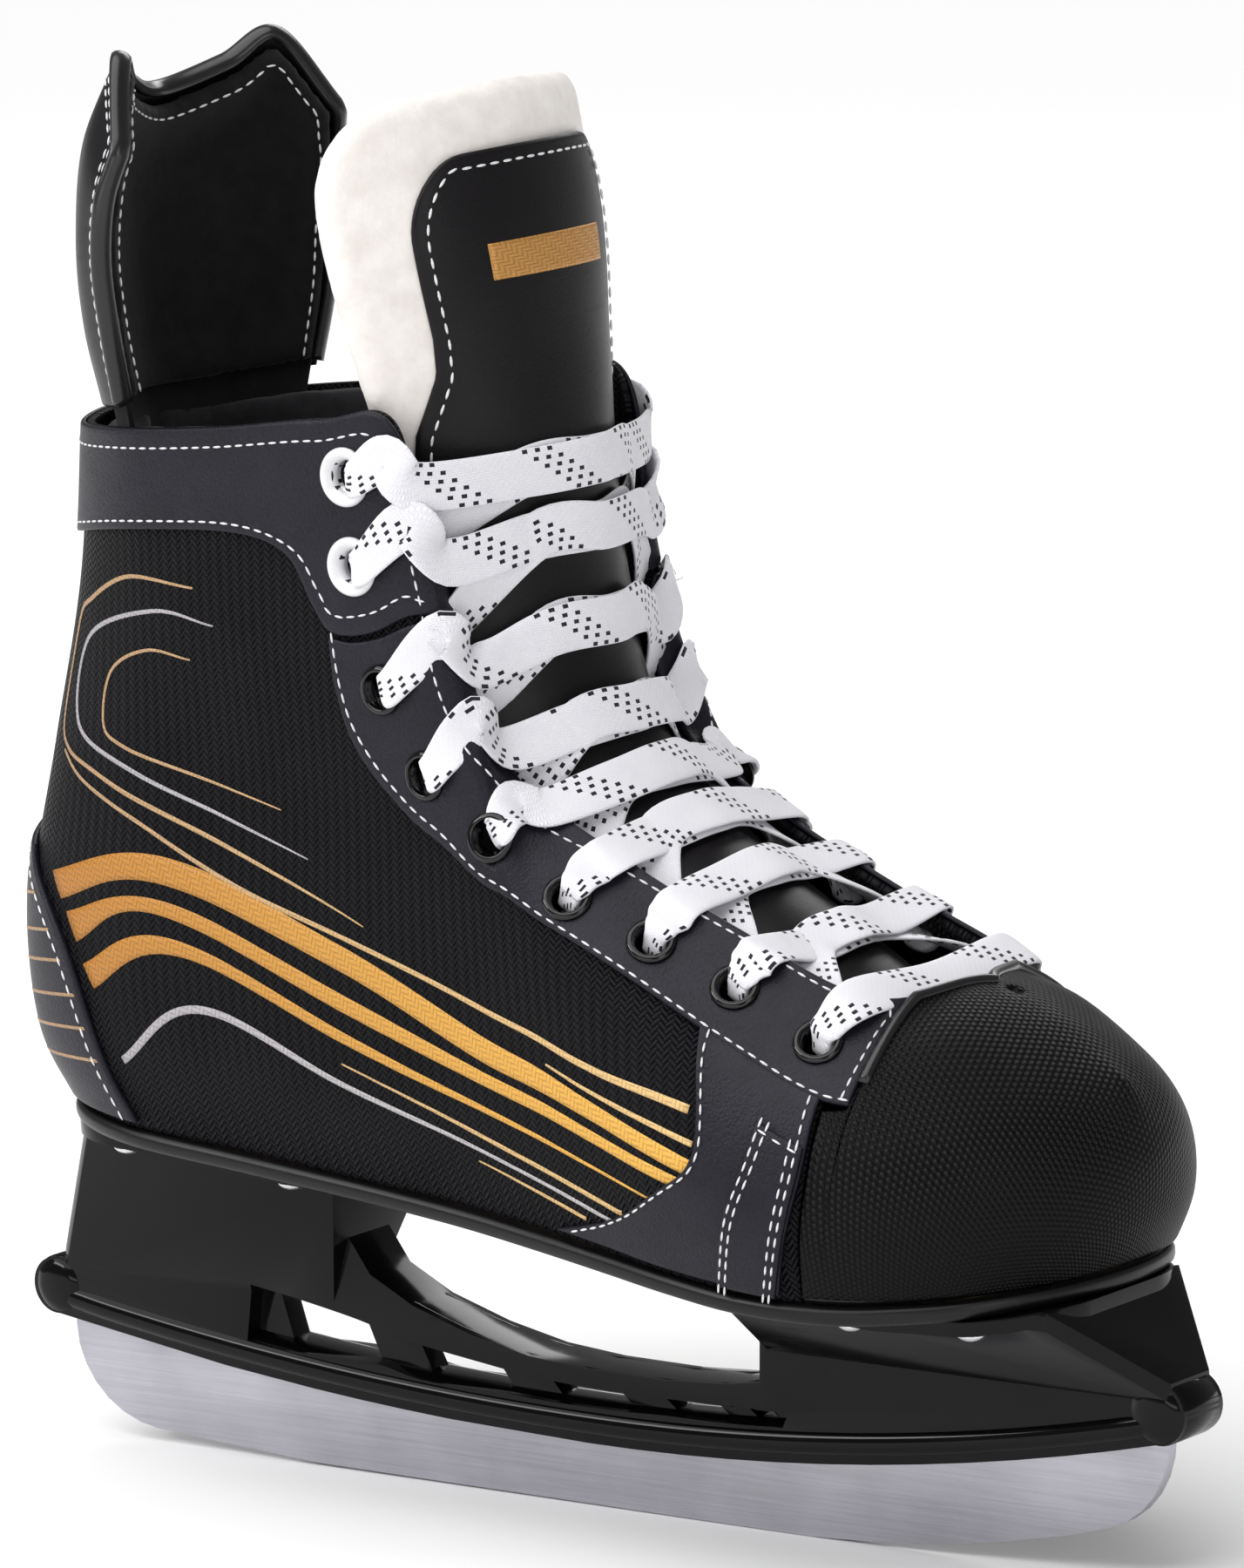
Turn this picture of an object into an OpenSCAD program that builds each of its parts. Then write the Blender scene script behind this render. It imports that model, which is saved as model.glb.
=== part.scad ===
// Lace-up hockey skate, right foot, as an assembly of separate pieces.
// Frame: +X to the toe, +Y to the inner side of the foot, +Z up, z = 0 on the ice.

/* [Boot] */
// Scale of the whole skate, 1 = foot of 258 mm
size_k = 1; // [0.8:0.01:1.15]
// Thickness of the woven outer panels
quarter_t = 1.5; // [1.2:0.1:1.6]
// Thickness of the leather panels sewn over the woven ones
overlay_t = 1.1; // [0.8:0.1:1.2]
// Thickness of the padded lining round the ankle
padding_t = 3.4; // [2:0.1:3.6]
// How far the toe turns in towards the big toe
toe_turn = 5; // [0:0.5:7]

/* [Holder and blade] */
// Thickness of the steel runner
blade_t = 3; // [2.8:0.1:3.2]
// How deep the runner sits in the holder's slot
blade_grip = 6; // [4:0.5:7]
// Half width of the holder's rail
rail_half = 7; // [6:0.5:8]
// Thickness of the outsole
outsole_t = 4; // [3:0.25:5]

/* [Lacing] */
// Width of the flat lace
lace_w = 10; // [7:0.5:11]
// Thickness of the flat lace
lace_t = 1.1; // [0.8:0.1:1.3]
// Bore of an eyelet
eyelet_bore = 6.4; // [5:0.1:7]

/* [Tongue and guard] */
// Thickness of the tongue's felt
felt_t = 9; // [6:0.5:10]
// Thickness of the tongue's leather facing
facing_t = 1.4; // [1:0.1:1.8]
// Thickness of the tendon guard's outer shell
guard_t = 2; // [1.6:0.1:2.4]

/* [Hidden] */

near = -1;
far = 1;
gap = 0.4;
black = "#17171b";
slate = "#33333f";
nylon = "#1d1d22";
felt_white = "#ece6e3";
steel = "#a9a7b0";
bronze = "#b9854a";
lace_white = "#f2f2f4";

// ---------------------------------------------------------------- the last
// Stations run from the heel's centre line (first) to the toe's (last). Each one lists
// the side of the boot from the sole's edge up to the collar, lacing edge or toe ridge.
LAST = [
  [[-130, 0, 80], [-138, 0, 96], [-139, 0, 124], [-132, 0, 156], [-123, 0, 192], [-118.5, 0, 226]],
  [[-121, 20, 79], [-128, 23, 96], [-129, 23.5, 124], [-122.5, 22, 156], [-114.5, 21, 192], [-110.5, 21, 227]],
  [[-100, 31, 77], [-101, 35, 96], [-101, 36, 124], [-98, 33, 156], [-93, 33, 192], [-91, 34, 228.5]],
  [[-68, 33, 75], [-66, 37.5, 95], [-65, 38.5, 122], [-66, 35.5, 155], [-66, 37.5, 192], [-62, 38, 231]],
  [[-35, 34, 72], [-33, 39, 92], [-31, 40, 119], [-33, 38, 153], [-37, 39, 192], [-34, 39.5, 234.5]],
  [[-8, 36, 70], [-5, 41, 90], [-3, 41.5, 115], [-6, 40, 150], [-14, 39.5, 190], [-15, 39, 234]],
  [[14, 39, 68], [16, 44, 88], [15, 44, 111], [9, 42, 140], [0, 38.5, 168], [-8, 33.5, 196]],
  [[33, 42.5, 66], [34, 47, 85], [32, 47, 104], [24, 44, 127], [12, 37.5, 148], [1, 29, 163]],
  [[50, 46, 64], [51, 50.5, 82], [50, 50, 98], [45, 46, 117], [36, 37.5, 132], [28, 27, 145.5]],
  [[68, 48.5, 62.5], [69, 52.5, 79], [69, 51.5, 92], [66, 46.5, 107], [62, 37, 118], [57, 26, 132]],
  [[84, 48, 61.5], [86, 51.5, 76], [87, 50, 88], [87, 45, 99.5], [87, 35.5, 110], [86, 24, 120]],
  [[99, 43.5, 61.5], [102, 46.5, 75], [104, 45, 87], [104, 38, 99.5], [102, 22, 113], [99, 0, 119]],
  [[114, 34, 62.5], [118, 36.5, 75], [119, 35, 87], [118, 28, 98], [115.5, 15, 107.5], [112, 0, 113.5]],
  [[125, 19, 63.5], [129.5, 20, 75], [130, 19, 86], [128.5, 15, 95], [125.5, 8, 102], [122.5, 0, 106]],
  [[129, 0, 64.5], [133.5, 0, 75], [134.5, 0, 85], [133, 0, 92], [131, 0, 97.5], [128.5, 0, 101.5]]];
toe = len(LAST) - 1;
top = 5;
// Top face of the outsole in side view
SOLE = [[-150, 81.5], [-121, 79], [-68, 75], [-8, 70], [33, 66], [68, 62.5], [92, 61.5], [114, 62.5], [150, 67]];

function mirrored(p) = [p.x, -p.y, p.z];
function spline(a, b, c, d, t) =
  0.5 * (2 * b + (c - a) * t + (2 * a - 5 * b + 4 * c - d) * t * t + (3 * b - a - 3 * c + d) * t * t * t);
function unit(v) = v / norm(v);
function clamp(x, lo, hi) = min(max(x, lo), hi);
function reversed(list) = [for (i = [len(list) - 1:-1:0]) list[i]];
function station(i) =
  i < 0 ? [for (p = LAST[-i]) mirrored(p)] :
  i > toe ? [for (p = LAST[2 * toe - i]) mirrored(p)] : LAST[i];
function up_station(r, v) =
  let (j = clamp(floor(v), 0, top - 1),
       before = j > 0 ? r[j - 1] : 2 * r[0] - r[1],
       after = j < top - 1 ? r[j + 2] : (r[top].y == 0 ? mirrored(r[top - 1]) : 2 * r[top] - r[top - 1]))
  spline(before, r[j], r[j + 1], after, v - j);
function turn(x) = let (t = clamp((x - 10) / 125, 0, 1.2)) toe_turn * t * t * (1.5 - 0.5 * t);
// A point on the boot's skin: u counts stations, v counts levels
function last_at(side, u, v) =
  let (k = clamp(floor(u), -1, toe),
       p = spline(up_station(station(k - 1), v), up_station(station(k), v),
                  up_station(station(k + 1), v), up_station(station(k + 2), v), u - k))
  [p.x, side * max(p.y, 0) + turn(p.x), p.z];
function last_normal(side, u, v) =
  let (step = 0.02, a = clamp(u, step, toe - 0.06), b = clamp(v, step, top - 0.06),
       along = last_at(side, a + step, b) - last_at(side, a - step, b),
       up = last_at(side, a, b + step) - last_at(side, a, b - step))
  -side * unit(cross(along, up));
function skin(side, u, v, d) = last_at(side, u, v) + d * last_normal(side, u, v);

// ---------------------------------------------------------------- tongue and guard
// Tongue's outer face: x, z, half width, and how far its edges fall back
TONGUE = [[88, 112, 20, 8], [58, 130, 25, 11], [30, 148, 30, 14], [12, 168, 32, 18], [6, 195, 34, 22],
          [4, 220, 35, 24], [1, 243, 41, 24], [-2, 268, 46, 24], [-8, 300, 46, 22]];
tongue_end = len(TONGUE) - 1;
tongue_fold = 6;
function tongue_line(s) =
  let (k = clamp(floor(s), 0, tongue_end - 1),
       before = k > 0 ? TONGUE[k - 1] : 2 * TONGUE[0] - TONGUE[1],
       after = k < tongue_end - 1 ? TONGUE[k + 2] : 2 * TONGUE[tongue_end] - TONGUE[tongue_end - 1])
  spline(before, TONGUE[k], TONGUE[k + 1], after, s - k);
function tongue_at(s, w) =
  let (t = tongue_line(s), a = tongue_line(clamp(s - 0.02, 0, tongue_end)),
       b = tongue_line(clamp(s + 0.02, 0, tongue_end)),
       along = unit([b[0] - a[0], b[1] - a[1]]), fall = t[3] * pow(abs(w), 2.1),
       x = t[0] - along[1] * fall)
  [x, w * t[2] + turn(x), t[1] + along[0] * fall];
function tongue_normal(s, w) =
  let (step = 0.02, a = clamp(s, step, tongue_end - step), b = clamp(w, -0.98, 0.98))
  unit(cross(tongue_at(a, b + step) - tongue_at(a, b - step), tongue_at(a + step, b) - tongue_at(a - step, b)));
function tongue_skin(s, w, d) = tongue_at(s, w) + d * tongue_normal(s, w);

// Tendon guard's outer face, from the heel's centre line to the wing's edge
GUARD = [
  [[-114, 0, 228.5], [-116.5, 0, 245], [-117, 0, 262], [-114, 0, 280], [-106, 0, 294]],
  [[-108, 18, 229], [-110, 20, 246], [-110, 21, 264], [-108, 20, 284], [-100.5, 16, 298]],
  [[-100, 28, 230], [-101, 32, 247], [-101, 33.5, 265], [-99, 32, 285], [-94, 27, 303]],
  [[-92, 33.5, 231], [-91, 38, 247], [-91, 40, 262], [-89, 40.5, 275], [-86, 38, 286]]];
function guard_station(i) =
  i < 0 ? [for (p = GUARD[-i]) mirrored(p)] : i > 3 ? 2 * GUARD[3] - GUARD[2] : GUARD[i];
function up_guard(r, v) =
  let (j = clamp(floor(v), 0, 3), before = j > 0 ? r[j - 1] : 2 * r[0] - r[1],
       after = j < 3 ? r[j + 2] : 2 * r[4] - r[3])
  spline(before, r[j], r[j + 1], after, v - j);
function guard_at(w, v) =
  let (a = abs(w), k = clamp(floor(a), 0, 2),
       p = spline(up_guard(guard_station(k - 1), v), up_guard(guard_station(k), v),
                  up_guard(guard_station(k + 1), v), up_guard(guard_station(k + 2), v), a - k))
  w < 0 ? mirrored(p) : p;
function guard_normal(w, v) =
  let (step = 0.02, a = clamp(w, -2.96, 2.96), b = clamp(v, step, 3.96))
  unit(cross(guard_at(a, b + step) - guard_at(a, b - step), guard_at(a + step, b) - guard_at(a - step, b)));
function guard_skin(w, v, d) = guard_at(w, v) + d * guard_normal(w, v);

// ---------------------------------------------------------------- sheets
// A closed sheet from two matching grids of points, outer and inner. From row seam on, rows that
// mirror each other share their last point, which closes the sheet along a ridge.
module sheet(outer, inner, turned = false, seam = 1e6) {
  rows = len(outer);
  cols = len(outer[0]);
  count = rows * cols;
  points = concat([for (r = outer) each r], [for (r = inner) each r]);
  function joined(i) = i >= seam && i <= rows - 1 - seam;
  function at(i, j) = (j == cols - 1 && joined(i) ? min(i, rows - 1 - i) : i) * cols + j;
  faces = concat(
    [for (i = [0:rows - 2], j = [0:cols - 2]) [at(i, j), at(i + 1, j), at(i + 1, j + 1), at(i, j + 1)]],
    [for (i = [0:rows - 2], j = [0:cols - 2])
      [count + at(i, j), count + at(i, j + 1), count + at(i + 1, j + 1), count + at(i + 1, j)]],
    [for (i = [0:rows - 2]) [at(i, 0), count + at(i, 0), count + at(i + 1, 0), at(i + 1, 0)]],
    [for (i = [0:rows - 2]) if (!joined(i) || !joined(i + 1))
      [at(i + 1, cols - 1), count + at(i + 1, cols - 1), count + at(i, cols - 1), at(i, cols - 1)]],
    [for (j = [0:cols - 2]) [at(0, j + 1), count + at(0, j + 1), count + at(0, j), at(0, j)]],
    [for (j = [0:cols - 2])
      [at(rows - 1, j), count + at(rows - 1, j), count + at(rows - 1, j + 1), at(rows - 1, j + 1)]]);
  triangles = [for (f = faces) each [[f[0], f[1], f[2]], [f[0], f[2], f[3]]]];
  polyhedron(points, turned ? [for (f = triangles) [f[2], f[1], f[0]]] : triangles);
}

// A panel on one side of the boot between the levels low and high, listed by station
module panel(side, us, low, high, levels, d0, d1) {
  function level(u, j) = lookup(u, low) + (lookup(u, high) - lookup(u, low)) * j / levels;
  outer = [for (u = us) [for (j = [0:levels]) skin(side, u, level(u, j), d1)]];
  inner = [for (u = us) [for (j = [0:levels]) skin(side, u, level(u, j), d0)]];
  sheet(outer, inner, side == near);
}

// Station at which the two sides of the boot first meet on the toe's ridge
ridge_u = 11;

// A panel that wraps both sides, over the toe (from_toe) or round the heel; a ridged one is closed on top
module wrap(us, low, high, levels, d0, d1, from_toe, ridged = false) {
  function level(u, j) = lookup(u, low) + (lookup(u, high) - lookup(u, low)) * j / levels;
  function across(u, v, d) =
    from_toe ? (u <= toe ? skin(near, u, v, d) : skin(far, 2 * toe - u, v, d))
             : (u <= 0 ? skin(near, -u, v, d) : skin(far, u, v, d));
  function fold(u) = from_toe ? (u <= toe ? u : 2 * toe - u) : abs(u);
  function on_ridge(u, j) = ridged && j == levels && fold(u) >= ridge_u;
  function grid(d) = [for (u = us) [for (j = [0:levels])
    on_ridge(u, j) ? (skin(near, fold(u), top, d) + skin(far, fold(u), top, d)) / 2 : across(u, level(fold(u), j), d)]];
  sheet(grid(d1), grid(d0), from_toe, ridged ? len([for (u = us) if (u < ridge_u) u]) : 1e6);
}

function steps(a, b, n) = [for (i = [0:n]) a + (b - a) * i / n];

// Panel outlines: [station, level]
CUFF_LOW = [[0, 4.12], [0.7, 4.24], [2.6, 4.38], [3.4, 4.38], [3.8, 4.26], [4.06, 4.0], [4.2, 3.94], [4.7, 3.99],
            [5.25, 4.22], [6, 4.86]];
STAY_LOW = [[4.12, 3.7], [4.2, 3.37], [4.47, 3.11], [4.88, 2.94], [5.74, 2.9], [7.18, 3.32], [8.08, 3.41],
            [8.71, 3.43], [9.33, 3.38], [10.3, 3.2]];
STAY_HIGH = [[4.12, 3.9], [4.2, 3.88], [4.7, 3.93], [5.25, 4.16], [6, 4.8], [6.2, 4.98], [10.3, 4.98]];
VAMP_HIGH = [[6.3, 0.2], [7.69, 0.75], [8.37, 1.32], [8.61, 1.74], [8.7, 2.3], [8.74, 3.35], [9.33, 3.31],
             [9.98, 3.2]];
HEEL_HIGH = [[0, 2.5], [0.9, 2.35], [1.55, 1.85], [1.74, 1.5], [2, 0.6], [2.15, 0.25]];
TAB_HIGH = [[9.05, 2.5], [9.5, 2.62], [9.93, 2.5]];
TOE_HIGH = [[10.05, 3.1], [10.32, 3.15], [10.36, 4.96], [11, 5], [toe, 5]];
QUARTER_HIGH = [[0, 4.96], [toe, 4.96]];
sole_level = 0.04;
SOLE_LEVEL = [[0, sole_level], [toe, sole_level]];
WELT_LEVEL = [[0, 0.12], [8, 0.12], [toe, 0.18]];
inner_level = 0.3;
INNER_LEVEL = [[0, inner_level], [toe, inner_level]];

// Eyelets from the collar down, as [station, level]
EYELETS = [[4.36, 4.67], [4.44, 4.25], [4.62, 3.66], [4.95, 3.28], [6.15, 3.42], [7.47, 3.84], [8.29, 4.13],
           [9.02, 4.26], [9.77, 4.1]];
TOP_EYELETS = [0, 1];
LOW_EYELETS = [2:8];
hole_r = eyelet_bore / 2 + 0.85;

module along_normal(p, n) {
  translate(p) rotate([0, acos(n.z), atan2(n.y, n.x)]) children();
}

module eyelet_holes(side, list) {
  for (i = list)
    along_normal(skin(side, EYELETS[i].x, EYELETS[i].y, -5), last_normal(side, EYELETS[i].x, EYELETS[i].y))
      cylinder(r = hole_r, h = 10, $fn = 32);
}

// ---------------------------------------------------------------- blade and holder
RAIL_X = concat([-143, -141.5], [for (x = [-132:12:132]) x], [141.5, 143]);
function rail_low(x) = 15 + (x < 6 ? 12.5 * pow((6 - x) / 148, 2) : 16 * pow((x - 6) / 136, 2));
blade_end = 141.5;
stud_x = [-98, 96];
stud_r = 2;
post_top = 47;
function blade_bottom(x) =
  x < -45 ? 0.0006 * pow(-45 - x, 2) : x > 45 ? 0.0016 * pow(x - 45, 2) : 0;

module blade_outline() {
  bottom = [for (x = [-109:8:-45]) [x, blade_bottom(x)]];
  front = [for (x = [45:8:117]) [x, blade_bottom(x)]];
  heel_curve = [for (a = [180:-12:84]) [-blade_end + 24 + 24 * cos(a), 24 - 21 * sin(a)]];
  toe_curve = [for (a = [72:-12:0]) [blade_end - 21 + 21 * cos(a), 31 - 21 * sin(a)]];
  roof = [for (x = reversed(RAIL_X)) if (abs(x) <= blade_end) [x, rail_low(x) + blade_grip]];
  polygon(concat(heel_curve, bottom, front, toe_curve, roof));
}

module blade_runner() {
  color(steel) {
    rotate([90, 0, 0]) linear_extrude(blade_t, center = true) {
      blade_outline();
      for (x = stud_x) translate([x - 7, rail_low(x)]) square([14, post_top - rail_low(x)]);
    }
    for (x = stud_x) translate([x, 0, post_top - 0.8]) cylinder(r = stud_r, h = 9, $fn = 32);
  }
}

module blade_nuts() {
  color("silver")
    for (x = stud_x) translate([x, 0, post_top + 2.2]) difference() {
      cylinder(r = 4.4, h = 4, $fn = 6);
      translate([0, 0, -1]) cylinder(r = stud_r + 0.05, h = 6, $fn = 32);
    }
}

// Side view of the rail with its ladder of slots and its two end lugs
module rail_outline() {
  low = [for (x = RAIL_X) [x, rail_low(x)]];
  high = [[147, 42], [131, 44], [45, 44], [44.5, 33], [35, 31.5], [20, 30.6], [0, 30.8], [-15, 32], [-30, 35],
          [-45, 39.5], [-56, 45], [-61, 52], [-64, 56], [-100, 50], [-138, 41], [-147, 37]];
  difference() {
    union() {
      polygon(concat(low, high));
      translate([-142, 33.6]) circle(r = 6.2, $fn = 48);
      translate([142.6, 37.5]) circle(r = 6.5, $fn = 48);
    }
    for (s = SLOTS) polygon([[s[0] - 4, s[3]], [s[1] - 4, s[4]], [s[1], s[2]], [s[0], s[2]]]);
  }
}
// Slots of the rail: start, end, floor, roof at the start, roof at the end
SLOTS = [[-80, -57, 26, 39, 35], [-43, -22, 23.6, 31.6, 28.8], [-9, 9, 23, 27.4, 26.6], [20, 34, 23.6, 26.8, 26.8],
         [41, 47, 24.2, 27.2, 27.2]];

function sole_top(x) = lookup(x, SOLE);
flange_t = 3;
REAR_FLANGE = [-127, -54, 26];
FRONT_FLANGE = [42, 131, 33];

// A strip that follows the sole in side view
module sole_strip(x0, x1, drop, t) {
  xs = concat([x0], [for (p = SOLE) if (p.x > x0 && p.x < x1) p.x], [x1]);
  rotate([90, 0, 0]) linear_extrude(140, center = true)
    polygon(concat([for (x = xs) [x, sole_top(x) - drop]],
                   [for (i = [len(xs) - 1:-1:0]) [xs[i], sole_top(xs[i]) - drop - t]]));
}

module flange(f, front_r, rear_r) {
  intersection() {
    sole_strip(f[0], f[1], outsole_t + 0.05, flange_t);
    linear_extrude(120) union() {
      translate([f[0] + rear_r, -f[2]]) square([f[1] - f[0] - rear_r - front_r, 2 * f[2]]);
      translate([f[0], -f[2] + rear_r]) square([rear_r + 1, 2 * (f[2] - rear_r)]);
      translate([f[1] - front_r - 1, -f[2] + front_r]) square([front_r + 1, 2 * (f[2] - front_r)]);
      for (s = [-1, 1]) {
        translate([f[0] + rear_r, s * (f[2] - rear_r)]) circle(r = rear_r, $fn = 48);
        translate([f[1] - front_r, s * (f[2] - front_r)]) circle(r = front_r, $fn = 48);
      }
    }
  }
}

module slab(x0, x1, half, z0, z1, t) {
  rotate([90, 0, 0]) linear_extrude(2 * half, center = true)
    polygon([[x0, z0], [x1, z1], [x1, z1 - t], [x0, z0 - t]]);
}

module tower(bottom, roof) {
  under = outsole_t + 0.05;
  intersection() {
    hull() {
      slab(bottom[0], bottom[1], rail_half, bottom[2], bottom[2], 4);
      slab(roof[0], roof[1], roof[2], sole_top(roof[0]) - under, sole_top(roof[1]) - under, 4);
    }
    sole_strip(-149, 149, under, 60);
  }
}

module tower_hollows(list) {
  for (h = list) translate([h[0], -h[2], h[3]]) cube([h[1] - h[0], 2 * h[2], 60]);
}

HEEL_RIVETS = [[-108, 21.5], [-64, 21.5]];
FRONT_RIVETS = [[54, 28.5], [84, 28.5], [112, 27]];
rivet_r = 2;

module rivet_holes() {
  for (p = concat(HEEL_RIVETS, FRONT_RIVETS), s = [-1, 1])
    translate([p.x, s * p.y, 40]) cylinder(r = rivet_r + 0.05, h = 60, $fn = 32);
}

module blade_holder() {
  color(black) difference() {
    union() {
      rotate([90, 0, 0]) linear_extrude(2 * rail_half, center = true) rail_outline();
      tower([-139, -66, 42], [-123, -57, 17]);
      tower([47, 146, 44], [44, 128, 24]);
      flange(REAR_FLANGE, 8, 18);
      flange(FRONT_FLANGE, 22, 8);
    }
    rotate([90, 0, 0]) linear_extrude(blade_t + 0.1, center = true) {
      polygon(concat([for (x = RAIL_X) [x, rail_low(x) - 2]],
                     [for (x = reversed(RAIL_X)) [x, rail_low(x) + blade_grip + 0.1]]));
      for (x = stud_x) translate([x - 7.1, rail_low(x)]) square([14.2, post_top + 0.1 - rail_low(x)]);
    }
    for (x = stud_x) {
      translate([x, 0, post_top - 0.9]) cylinder(r = stud_r + 0.1, h = 8, $fn = 32);
      translate([x, 0, post_top + 2]) cylinder(r = 6.5, h = 40, $fn = 32);
    }
    tower_hollows([[-119, -107, 10, 50], [-89, -70, 10, 52], [52, 87, 14, 48], [105, 122, 12, 48]]);
    rivet_holes();
  }
}

module rivet(p, s) {
  seat = sole_top(p.x) - outsole_t - flange_t - 0.45;
  translate([p.x, s * p.y, seat]) rotate_extrude($fn = 32)
    polygon([[0, -1.5], [1.6, -1.4], [2.8, -0.9], [3.3, -0.1], [rivet_r, 0], [rivet_r, outsole_t + flange_t - 0.2],
             [0, outsole_t + flange_t - 0.2]]);
}

module sole_rivets_heel() {
  color("silver") for (p = HEEL_RIVETS, s = [-1, 1]) rivet(p, s);
}

module sole_rivets_front() {
  color("silver") for (p = FRONT_RIVETS, s = [-1, 1]) rivet(p, s);
}

// ---------------------------------------------------------------- sole
// Plan outline of the sole, grown outwards by d
module sole_plan(d) {
  us = steps(0, toe, 28);
  function grown(side, u) =
    let (a = last_at(side, u - 0.05, 0), b = last_at(side, u + 0.05, 0), t = unit([b.x - a.x, b.y - a.y]),
         p = last_at(side, u, 0))
    [p.x - side * d * t.y, p.y + side * d * t.x];
  polygon(concat([for (u = us) grown(near, u)], [for (i = [len(us) - 2:-1:1]) grown(far, us[i])]));
}

module outsole() {
  color(black) difference() {
    intersection() {
      linear_extrude(120) sole_plan(1.6);
      sole_strip(-149, 149, 0, outsole_t);
    }
    rivet_holes();
  }
}

module insole_board() {
  color("#8a7a5c") intersection() {
    linear_extrude(120) sole_plan(-2.6);
    sole_strip(-149, 149, -2.7, 2.6);
  }
}

module footbed() {
  color("#3c3c40") intersection() {
    linear_extrude(120) sole_plan(-5.5);
    sole_strip(-149, 149, -6.8, 4);
  }
}

// ---------------------------------------------------------------- upper
module quarter(side) {
  color(nylon) difference() {
    panel(side, steps(0.01, 10, 30), SOLE_LEVEL, QUARTER_HIGH, 12, -quarter_t, 0);
    eyelet_holes(side, [0:8]);
  }
}
module quarter_near() { quarter(near); }
module quarter_far() { quarter(far); }

module ankle_padding(side) {
  top_d = -quarter_t - 2 * gap - 1.2;
  color("#101013")
    panel(side, steps(0.02, 3.9, 12), INNER_LEVEL, QUARTER_HIGH, 10, top_d - padding_t, top_d);
}
module ankle_padding_near() { ankle_padding(near); }
module ankle_padding_far() { ankle_padding(far); }

module heel_counter() {
  color("#5a4a3a")
    wrap(steps(-3, 3, 18), INNER_LEVEL, [[0, 2.6], [2, 2.3], [3, 1.6]], 6, -quarter_t - gap - 1.1, -quarter_t - gap,
         false);
}

module cuff(side) {
  color(slate) difference() {
    panel(side, concat(steps(0.01, 3.4, 12), steps(3.6, 6, 14)), CUFF_LOW, QUARTER_HIGH, 4, gap, gap + overlay_t);
    eyelet_holes(side, TOP_EYELETS);
  }
}
module cuff_near() { cuff(near); }
module cuff_far() { cuff(far); }

module eyestay(side) {
  color(slate) difference() {
    panel(side, steps(4.12, 10.3, 30), STAY_LOW, STAY_HIGH, 4, gap, gap + overlay_t);
    eyelet_holes(side, LOW_EYELETS);
  }
}
module eyestay_near() { eyestay(near); }
module eyestay_far() { eyestay(far); }

module vamp_overlay(side) {
  color(slate)
    panel(side, concat(steps(6.3, 8.7, 12), steps(8.74, 9.98, 6)), WELT_LEVEL, VAMP_HIGH, 8, gap, gap + overlay_t);
}
module vamp_overlay_near() { vamp_overlay(near); }
module vamp_overlay_far() { vamp_overlay(far); }

module side_tab(side) {
  base = overlay_t + 2 * gap;
  color(slate) panel(side, steps(9.05, 9.93, 4), WELT_LEVEL, TAB_HIGH, 6, base, base + overlay_t);
}
module side_tab_near() { side_tab(near); }
module side_tab_far() { side_tab(far); }

module heel_panel() {
  color(slate) wrap(steps(-2.15, 2.15, 18), WELT_LEVEL, HEEL_HIGH, 6, gap, gap + overlay_t, false);
}

module toe_cap_cover() {
  color(nylon) wrap(steps(10.05, 2 * toe - 10.05, 32), WELT_LEVEL, TOE_HIGH, 10, 0, 1.4, true, true);
}

module toe_cap_shell() {
  color(black) wrap(steps(10.05, 2 * toe - 10.05, 32), SOLE_LEVEL, TOE_HIGH, 10, -2.4, -gap, true, true);
}

module toe_lining() {
  color("#101013") wrap(steps(10.5, 2 * toe - 10.5, 20), INNER_LEVEL, [[10.5, 4.6], [toe, 4.6]], 8, -5.4, -3.2, true);
}

// ---------------------------------------------------------------- lacing
module eyelet(side, i, ring) {
  p = EYELETS[i];
  seat = gap + overlay_t + 0.3;
  inside = eyelet_bore / 2;
  depth = seat + quarter_t + 0.6;
  along_normal(skin(side, p.x, p.y, seat), last_normal(side, p.x, p.y)) rotate_extrude($fn = 32)
    polygon([[inside, -depth], [inside + 0.7, -depth], [inside + 0.7, 0], [ring, 0], [ring + 0.1, 0.4],
             [ring - 0.6, 1], [inside + 0.7, 1.2], [inside, 0.7]]);
}
module eyelets_top_near() { color("white") for (i = TOP_EYELETS) eyelet(near, i, 6.2); }
module eyelets_top_far() { color("white") for (i = TOP_EYELETS) eyelet(far, i, 6.2); }
module eyelets_low_near() { color(black) for (i = LOW_EYELETS) eyelet(near, i, 5.2); }
module eyelets_low_far() { color(black) for (i = LOW_EYELETS) eyelet(far, i, 5.2); }

// Where the lace crosses the lacing edge at each eyelet
EDGE_U = [5.15, 5.55, 6.05, 6.65, 7.3, 8.05, 8.7, 9.3, 9.95];
// Where neighbouring runs cross on the tongue's centre line
CROSS_S = [5.05, 4.5, 3.75, 3.05, 2.5, 2.0, 1.45, 0.8];
last_eyelet = len(EYELETS) - 1;

function to_edge(side, k) =
  let (n = last_normal(side, EYELETS[k].x, EYELETS[k].y),
       d = last_at(side, EDGE_U[k], 4.9) - last_at(side, EYELETS[k].x, EYELETS[k].y))
  unit(d - (d * n) * n);
// One key of the lace's route: [point, facing, width, thickness]
function hole_key(side, k, d, flip) =
  [skin(side, EYELETS[k].x, EYELETS[k].y, d), flip * to_edge(side, k), 5, 1.6];
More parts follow.
